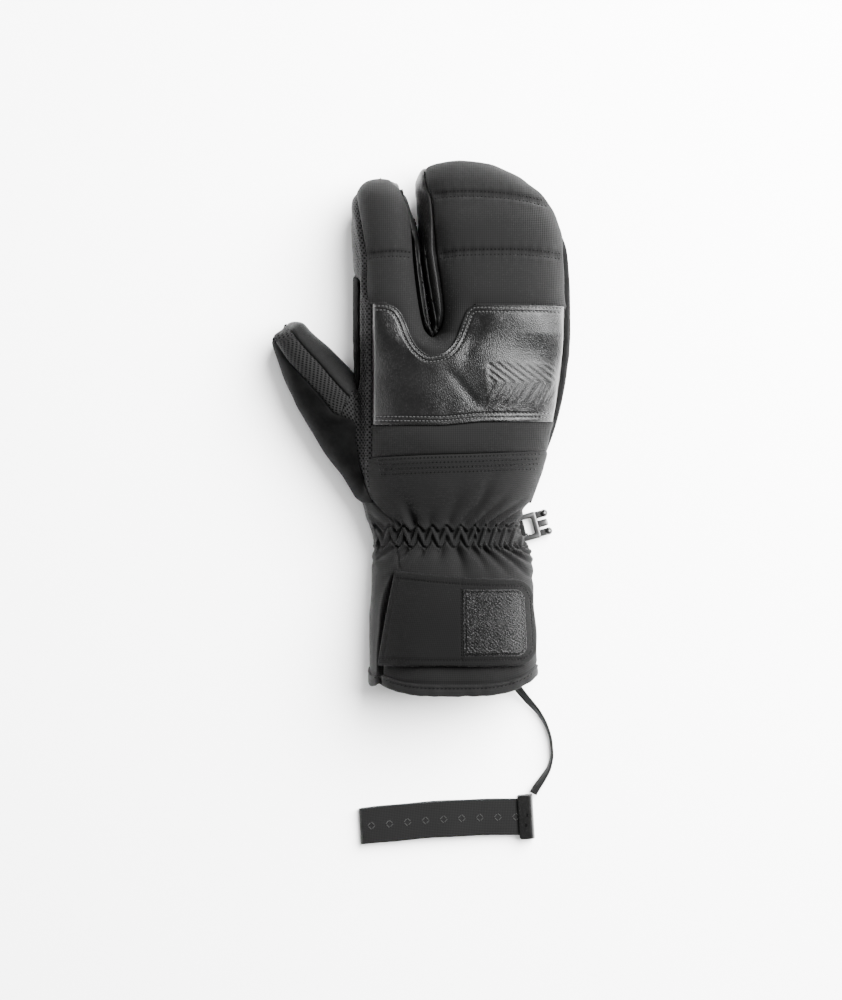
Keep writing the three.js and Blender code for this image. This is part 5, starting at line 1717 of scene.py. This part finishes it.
def atKeeper(points):
    # from the loop's own frame to its place, turned
    return points @ spinOf(band["turn"]) + [keeper["x"], keeper["y"], 0]


def makeBand():
    # The flattened loop's outline, walked once round, then carried across the webbing's width
    run = band["length"] - bandFold
    t = np.linspace(0, 1, 60)[:, None]
    ends = np.array([[run - bandEnd / 2, bandEnd], [0.8 * run, bandEnd + 0.2],
                     [0.4 * run, band["bow"]], [0, 2 * bandFold]])
    top = ((1 - t) ** 3 * ends[0] + 3 * (1 - t) ** 2 * t * ends[1]
           + 3 * (1 - t) * t * t * ends[2] + t**3 * ends[3])
    turn = np.linspace(math.pi / 2, 1.5 * math.pi, 16)[:, None]
    fold = np.concatenate([bandFold * np.cos(turn), bandFold + bandFold * np.sin(turn)], 1)
    line = np.concatenate([[[run - 0.1, bandEnd - 0.4]], top, fold[1:],
                           [[run - bandEnd / 2, 0]], [[run - 0.1, 0.4]], [[run - 0.1, bandEnd - 0.4]]])
    walk = walkOf(line)
    places = np.linspace(0, walk[-1], 330)
    x, z = (np.interp(places, walk, line[:, i])[:, None] for i in (0, 1))
    across = (spacing(38, ends=0.3)[None] - 0.5) * band["width"]
    x = x + 0 * across + bandFold - band["length"]
    # the webbing's edges wander a little, and its middle is a touch thicker
    across = across * (1 + 0.012 * np.sin(places[:, None] * 0.19))
    rise = keeper["thickness"] + 0.3
    tilt = math.atan(rise / band["length"])
    height = z + 0 * across
    bend = band["bend"] * np.sin(np.pi * np.clip(-x / band["length"], 0, 1))
    grid = np.stack([
        x * math.cos(tilt) - height * math.sin(tilt),
        across + bend,
        x * math.sin(tilt) + height * math.cos(tilt) + rise,
    ], -1)
    mesh = tubeMesh("wrist_band", atKeeper(grid))
    piece = addObject("webbing_band", mesh, materials["webbing"], "wrist_band")
    addWall(piece, band["thickness"])
    return piece


def makeKeeper():
    # a leather tab folded over the loop's sewn end, open to the left
    k = keeper
    height = bandEnd + 2 * (k["thickness"] + 0.3)
    r = height / 2
    turn = np.linspace(-math.pi / 2, math.pi / 2, 22)[:, None]
    right = k["width"] - r / 2
    bend = np.concatenate([right + (r / 2 + 1) * np.cos(turn), r + r * np.sin(turn)], 1)
    line = np.concatenate([[[0, 0]], bend, [[0, height]]])
    walk = walkOf(line)
    places = np.linspace(0, walk[-1], 70)
    x, z = (np.interp(places, walk, line[:, i])[:, None] for i in (0, 1))
    across = (spacing(60, ends=0.3)[None] - 0.5) * (band["width"] + 2 * k["overhang"])
    # its open corners are rounded off
    rounded = 1.0 - np.sqrt(np.maximum(1 - np.clip((np.abs(across) - 10.9) / 1.3, 0, 1) ** 2, 0))
    x = np.maximum(x + 0 * across, rounded) - k["width"] + 1
    grid = np.stack([x, across + 0 * x, z + 0 * x], -1)
    mesh = buildMesh("band_keeper", [atKeeper(grid)],
                     core=atKeeper(np.array([0.0, 0.0, height / 2])))
    piece = addObject("leather_keeper", mesh, materials["grain_leather"], "band_keeper")
    addWall(piece, k["thickness"])
    return piece


gauntletPiece = makeGauntlet()
bindingPiece = makeBinding()
strapPiece = makeStrap()
padPiece = makePad()
clipPiece = makeClip()
makeTab()
makeLeash()
bandPiece = makeBand()
keeperPiece = makeKeeper()
print("gauntlet, strap, clip and leash made")

# Stitches: capsules laid along plan lines and landed from above on the piece they sew
def alongRow(line, pitch, length, start=0.0):
    # where the stitches of a row begin and end, in plan
    walk = walkOf(line)
    places = np.arange(start + 0.2, walk[-1] - length, pitch)
    ends = [np.stack([np.interp(places + more, walk, line[:, i]) for i in (0, 1)], -1)
            for more in (0, length)]
    return np.stack(ends, 1)


def beside(line, distance):
    # a plan line moved to its left by distance
    along = np.gradient(line, axis=0)
    along /= np.maximum(np.linalg.norm(along, axis=1), 1e-9)[:, None]
    return line + np.stack([-along[:, 1], along[:, 0]], -1) * np.reshape(distance, (-1, 1))


def landed(target, plan):
    # the height of the target's upper surface under each plan point; nan where it is missed
    mesh = target.data
    tree = BVHTree.FromPolygons([v.co for v in mesh.vertices], [p.vertices for p in mesh.polygons])
    down = Vector((0, 0, -1))
    heights = []
    for point in toRow(np.concatenate([plan, np.full((len(plan), 1), 90.0)], 1)):
        hit = tree.ray_cast(Vector(point), down)[0]
        heights.append(hit.z * 1000 if hit else np.nan)
    return np.array(heights)


def makeStitches(name, target, rows, material, node, radius=0.3, flat=0.75, lift=0.1):
    # Each stitch: rings of radius r(t) round the line from its start to its end, and two poles
    ends = np.concatenate(rows)
    height = landed(target, ends.reshape(-1, 2)).reshape(-1, 2)
    steep = np.abs(height[:, 0] - height[:, 1])
    length = np.linalg.norm(ends[:, 1] - ends[:, 0], axis=1)
    good = np.isfinite(height).all(1) & (steep < 1.3 * length)
    ends = np.concatenate([ends[good], height[good][..., None] + lift], -1)
    begin, along = ends[:, 0], ends[:, 1] - ends[:, 0]
    unit = along / np.linalg.norm(along, axis=1)[:, None]
    side = np.cross([0, 0, 1.0], unit)
    side /= np.linalg.norm(side, axis=1)[:, None]
    up = np.cross(unit, side)
    t = np.array([0.02, 0.14, 0.5, 0.86, 0.98])
    wide = np.array([0.5, 0.9, 1.0, 0.9, 0.5]) * radius
    turn = np.arange(6) * np.pi / 3
    ring = (
        begin[:, None, None] + t[None, :, None, None] * along[:, None, None]
        + (wide[:, None] * np.cos(turn))[None, ..., None] * side[:, None, None]
        + flat * (wide[:, None] * np.sin(turn))[None, ..., None] * up[:, None, None]
    )
    count = len(begin)
    poles = np.stack([begin, begin + along], 1)
    points = np.concatenate([ring.reshape(count, 30, 3), poles], 1).reshape(-1, 3)
    faces = []
    for i in range(6):
        j = (i + 1) % 6
        faces += [(6 * r + i, 6 * r + j, 6 * r + 6 + j, 6 * r + 6 + i) for r in range(4)]
        faces += [(30, j, i), (31, 24 + i, 24 + j)]
    mesh = bpy.data.meshes.new(name)
    every = [tuple(32 * n + k for k in face) for n in range(count) for face in faces]
    mesh.from_pydata(toRow(points).tolist(), [], every)
    mesh.shade_smooth()
    addObject(name, mesh, materials[material], node)


stitch = {
    "leather": {"pitch": 2.0, "length": 1.35}, "cloth": {"pitch": 2.1, "length": 0.85},
    "gauntletRows": (1.3, 4.0, 6.7, 9.4),  # mm below the gauntlet's seam
    "strapPitch": 1.7, "padPitch": 1.15, "padZigzag": 0.55, "hemRow": 4.5,
    "marks": 9, "firstMark": 8.0, "markPitch": 10.1, "markSize": 2.1,
    "tackPitch": 0.42, "tackHalf": 0.6, "tacks": ((41.9, -154.4), (41.2, -160.0)),
}


def between(line, left, right, margin=1.6):
    # the part of a plan line between two seams
    keep = (line[:, 0] > left(line[:, 1]) + margin) & (line[:, 0] < right(line[:, 1]) - margin)
    return line[keep]


def makeKnuckleStitches():
    # two rows inside the upper edge and two inside the lower
    rows = []
    for seam, turn, distances in (
        (knuckleTop, -1, knuckle["topRows"]), (knuckleBottom, 1, knuckle["bottomRows"]),
    ):
        for i, distance in enumerate(distances):
            line = beside(seamPoints(seam, 0.25), turn * distance)
            line = between(line, indexSeamX, littleSeamX)
            rows.append(alongRow(line, **stitch["leather"], start=0.9 * i))
    makeStitches("stitches_knuckle", knucklePiece, rows, "pale_thread", "knuckle_panel",
                 radius=0.36)


def makeQuiltStitches():
    # two rows along each quilted line
    rows = []
    for line, (low, high) in zip(quiltLines, quiltEnds):
        x = np.arange(low, high, 0.25)
        middle = np.stack([x, line(x)], -1)
        right = slotLeftX if high < 0 else littleSeamX
        left = indexSeamX if high < 0 else slotRightX
        for shift in (-1.5, 1.5):
            row = between(middle + [0, shift], left, right, 1.8)
            rows.append(alongRow(row, **stitch["cloth"], start=0.4 + 0.3 * shift))
    makeStitches("stitches_fingers", fingerBackPiece, rows, "dark_thread_and_hole_shade", "finger_back",
                 radius=0.4)


def makeGauntletStitches():
    # four rows below the gauntlet's seam on the back
    x = np.arange(-45, 54, 0.25)
    rows = []
    for i, drop in enumerate(stitch["gauntletRows"]):
        line = np.stack([x, backSeamY(x) - drop], -1)
        line = between(line, indexSeamX, bodyCurves["right"], 3.2)
        rows.append(alongRow(line, **stitch["cloth"], start=0.5 * i))
    makeStitches("stitches_gauntlet", gauntletPiece, rows, "dark_thread_and_hole_shade", "gauntlet",
                 radius=0.42)


def edgeOf(place, u, lift, *inset):
    # the plan line along a strap's upper edge to its free end, and back along the lower edge
    edges = []
    for v in (1.0, 0.0):
        arc, y, _, _ = place(u, v, *inset)
        edges.append(onGauntlet(arc, y, lift)[:, :2])
    return np.concatenate([edges[0], edges[1][::-1]])


def makeStrapStitches():
    # a row round the strap's edge, and one across it
    contour = edgeOf(strapPlace, np.linspace(0.02, 1, 300), 2.9, strap["inset"])
    arc = np.full(40, arcAtX(strap["seamAt"]))
    up = np.linspace(strapY - strap["seamHalf"], strapY + strap["seamHalf"], 40)
    upright = onGauntlet(arc, up, 2.9)[:, :2]
    rows = [alongRow(line, stitch["strapPitch"], 1.0) for line in (contour, upright)]
    makeStitches("stitches_strap", strapPiece, rows, "dark_thread_and_hole_shade", "wrist_strap",
                 radius=0.34)


def makePadStitches():
    # a zigzag along the pad's edge
    contour = beside(edgeOf(padPlace, np.linspace(0, 1, 240), 3.0), -1.2)
    walk = walkOf(contour)
    places = np.arange(0, walk[-1], stitch["padPitch"])
    points = np.stack([np.interp(places, walk, contour[:, i]) for i in (0, 1)], -1)
    zigzag = beside(points, stitch["padZigzag"] * (-1.0) ** np.arange(len(points)))
    rows = [np.stack([zigzag[:-1], zigzag[1:]], 1)]
    makeStitches("stitches_pad", padPiece, rows, "dark_thread_and_hole_shade", "strap_grip_pad",
                 radius=0.26)


def makeHemStitches():
    # one row along the hem tape, on the back
    angle = np.linspace(math.radians(12), math.radians(158), 400)
    y = hemY(angle) + stitch["hemRow"]
    line = sectionPoint(bodySection(y), angle, y, 0.6)[::-1, :2]
    rows = [alongRow(line, 2.2, 1.3)]
    makeStitches("stitches_hem", bindingPiece, rows, "dark_thread_and_hole_shade", "cuff_binding",
                 radius=0.38)


def makeBandMarks():
    # small woven diamonds along the loop, in place of any lettering
    size = stitch["markSize"]
    corners = np.array([[-size, 0], [0, size], [size, 0], [0, -size], [-size, 0]])
    rows = []
    for step in range(stitch["marks"]):
        middle = np.array([-stitch["firstMark"] - stitch["markPitch"] * step, 0.0])
        middle[1] = band["bend"] * math.sin(math.pi * -middle[0] / band["length"])
        at = (corners + middle) @ spinOf(band["turn"])[:2, :2] + [keeper["x"], keeper["y"]]
        rows += [alongRow(np.linspace(a, b, 9), 0.72, 0.66) for a, b in zip(at[:-1], at[1:])]
    makeStitches("woven_marks", bandPiece, rows, "pale_thread", "wrist_band",
                 radius=0.3, flat=0.5, lift=0.05)


def makeBartacks():
    # two short blocks of close stitches on the keeper
    rows = []
    half = stitch["tackHalf"]
    for x, low in stitch["tacks"]:
        for step in range(4):
            y = low + stitch["tackPitch"] * step
            rows.append(np.array([[[x - half, y], [x + half, y]]]))
    makeStitches("bartacks_keeper", keeperPiece, rows, "dark_thread_and_hole_shade", "band_keeper",
                 radius=0.25)


makeKnuckleStitches()
makeQuiltStitches()
makeGauntletStitches()
makeStrapStitches()
makePadStitches()
makeHemStitches()
makeBandMarks()
makeBartacks()
print("stitches made")

# Floor and light
stage = {"size": 4.0, "floor": 0.86, "world": 0.2}
lamps = {
    # direction and distance in metres, disc size, watts, and the pieces it lights (none: all)
    "key": {"place": (0.50, 0.38, 0.60), "size": 0.6, "power": 13.0, "lights": None},
    "rim": {"place": (-0.9, 0.0, 0.4), "size": 0.5, "power": 2.0, "lights": "leather"},
    "glint": {"place": (0.45, 0.1, 0.5), "size": 0.5, "power": 26.0, "lights": "clip"},
    "wash": {"place": (0.9, 0.7, 1.0), "size": 1.9, "power": 420.0, "lights": "floor"},
    "above": {"place": (0.0, 0.05, 1.6), "size": 1.6, "power": 30.0, "lights": "floor"},
}


def makeStage():
    # a pale floor, an even world and the lamps, some for named pieces alone
    half = stage["size"] / 2
    mesh = bpy.data.meshes.new("floor")
    mesh.from_pydata([(-half, -half, 0), (half, -half, 0), (half, half, 0), (-half, half, 0)], [],
                     [(0, 1, 2, 3)])
    floor = bpy.data.objects.new("floor", mesh)
    bpy.context.scene.collection.objects.link(floor)
    material, _, shader = startMaterial("floor")
    shader.inputs["Base Color"].default_value = (stage["floor"],) * 3 + (1,)
    shader.inputs["Roughness"].default_value = 0.9
    mesh.materials.append(material)
    world = bpy.data.worlds.new("studio")
    bpy.context.scene.world = world
    world.use_nodes = True
    background = world.node_tree.nodes["Background"]
    background.inputs["Color"].default_value = (1, 1, 1, 1)
    background.inputs["Strength"].default_value = stage["world"]
    litPieces = {"floor": floor, "leather": knucklePiece, "clip": clipPiece}
    for name, lamp in lamps.items():
        light = bpy.data.lights.new(name, "AREA")
        light.shape, light.size, light.energy = "DISK", lamp["size"], lamp["power"]
        holder = bpy.data.objects.new(name, light)
        holder.location = lamp["place"]
        aim = Vector((0, 0.02, 0.02)) - Vector(lamp["place"])
        holder.rotation_euler = aim.to_track_quat("-Z", "Y").to_euler()
        bpy.context.scene.collection.objects.link(holder)
        if lamp["lights"]:
            # keeps the floor white and the leather glossy without more light on the dark cloth
            lit = bpy.data.collections.new("lit_by_" + name)
            lit.objects.link(litPieces[lamp["lights"]])
            holder.light_linking.receiver_collection = lit


makeStage()
print("stage made")

print("finished")
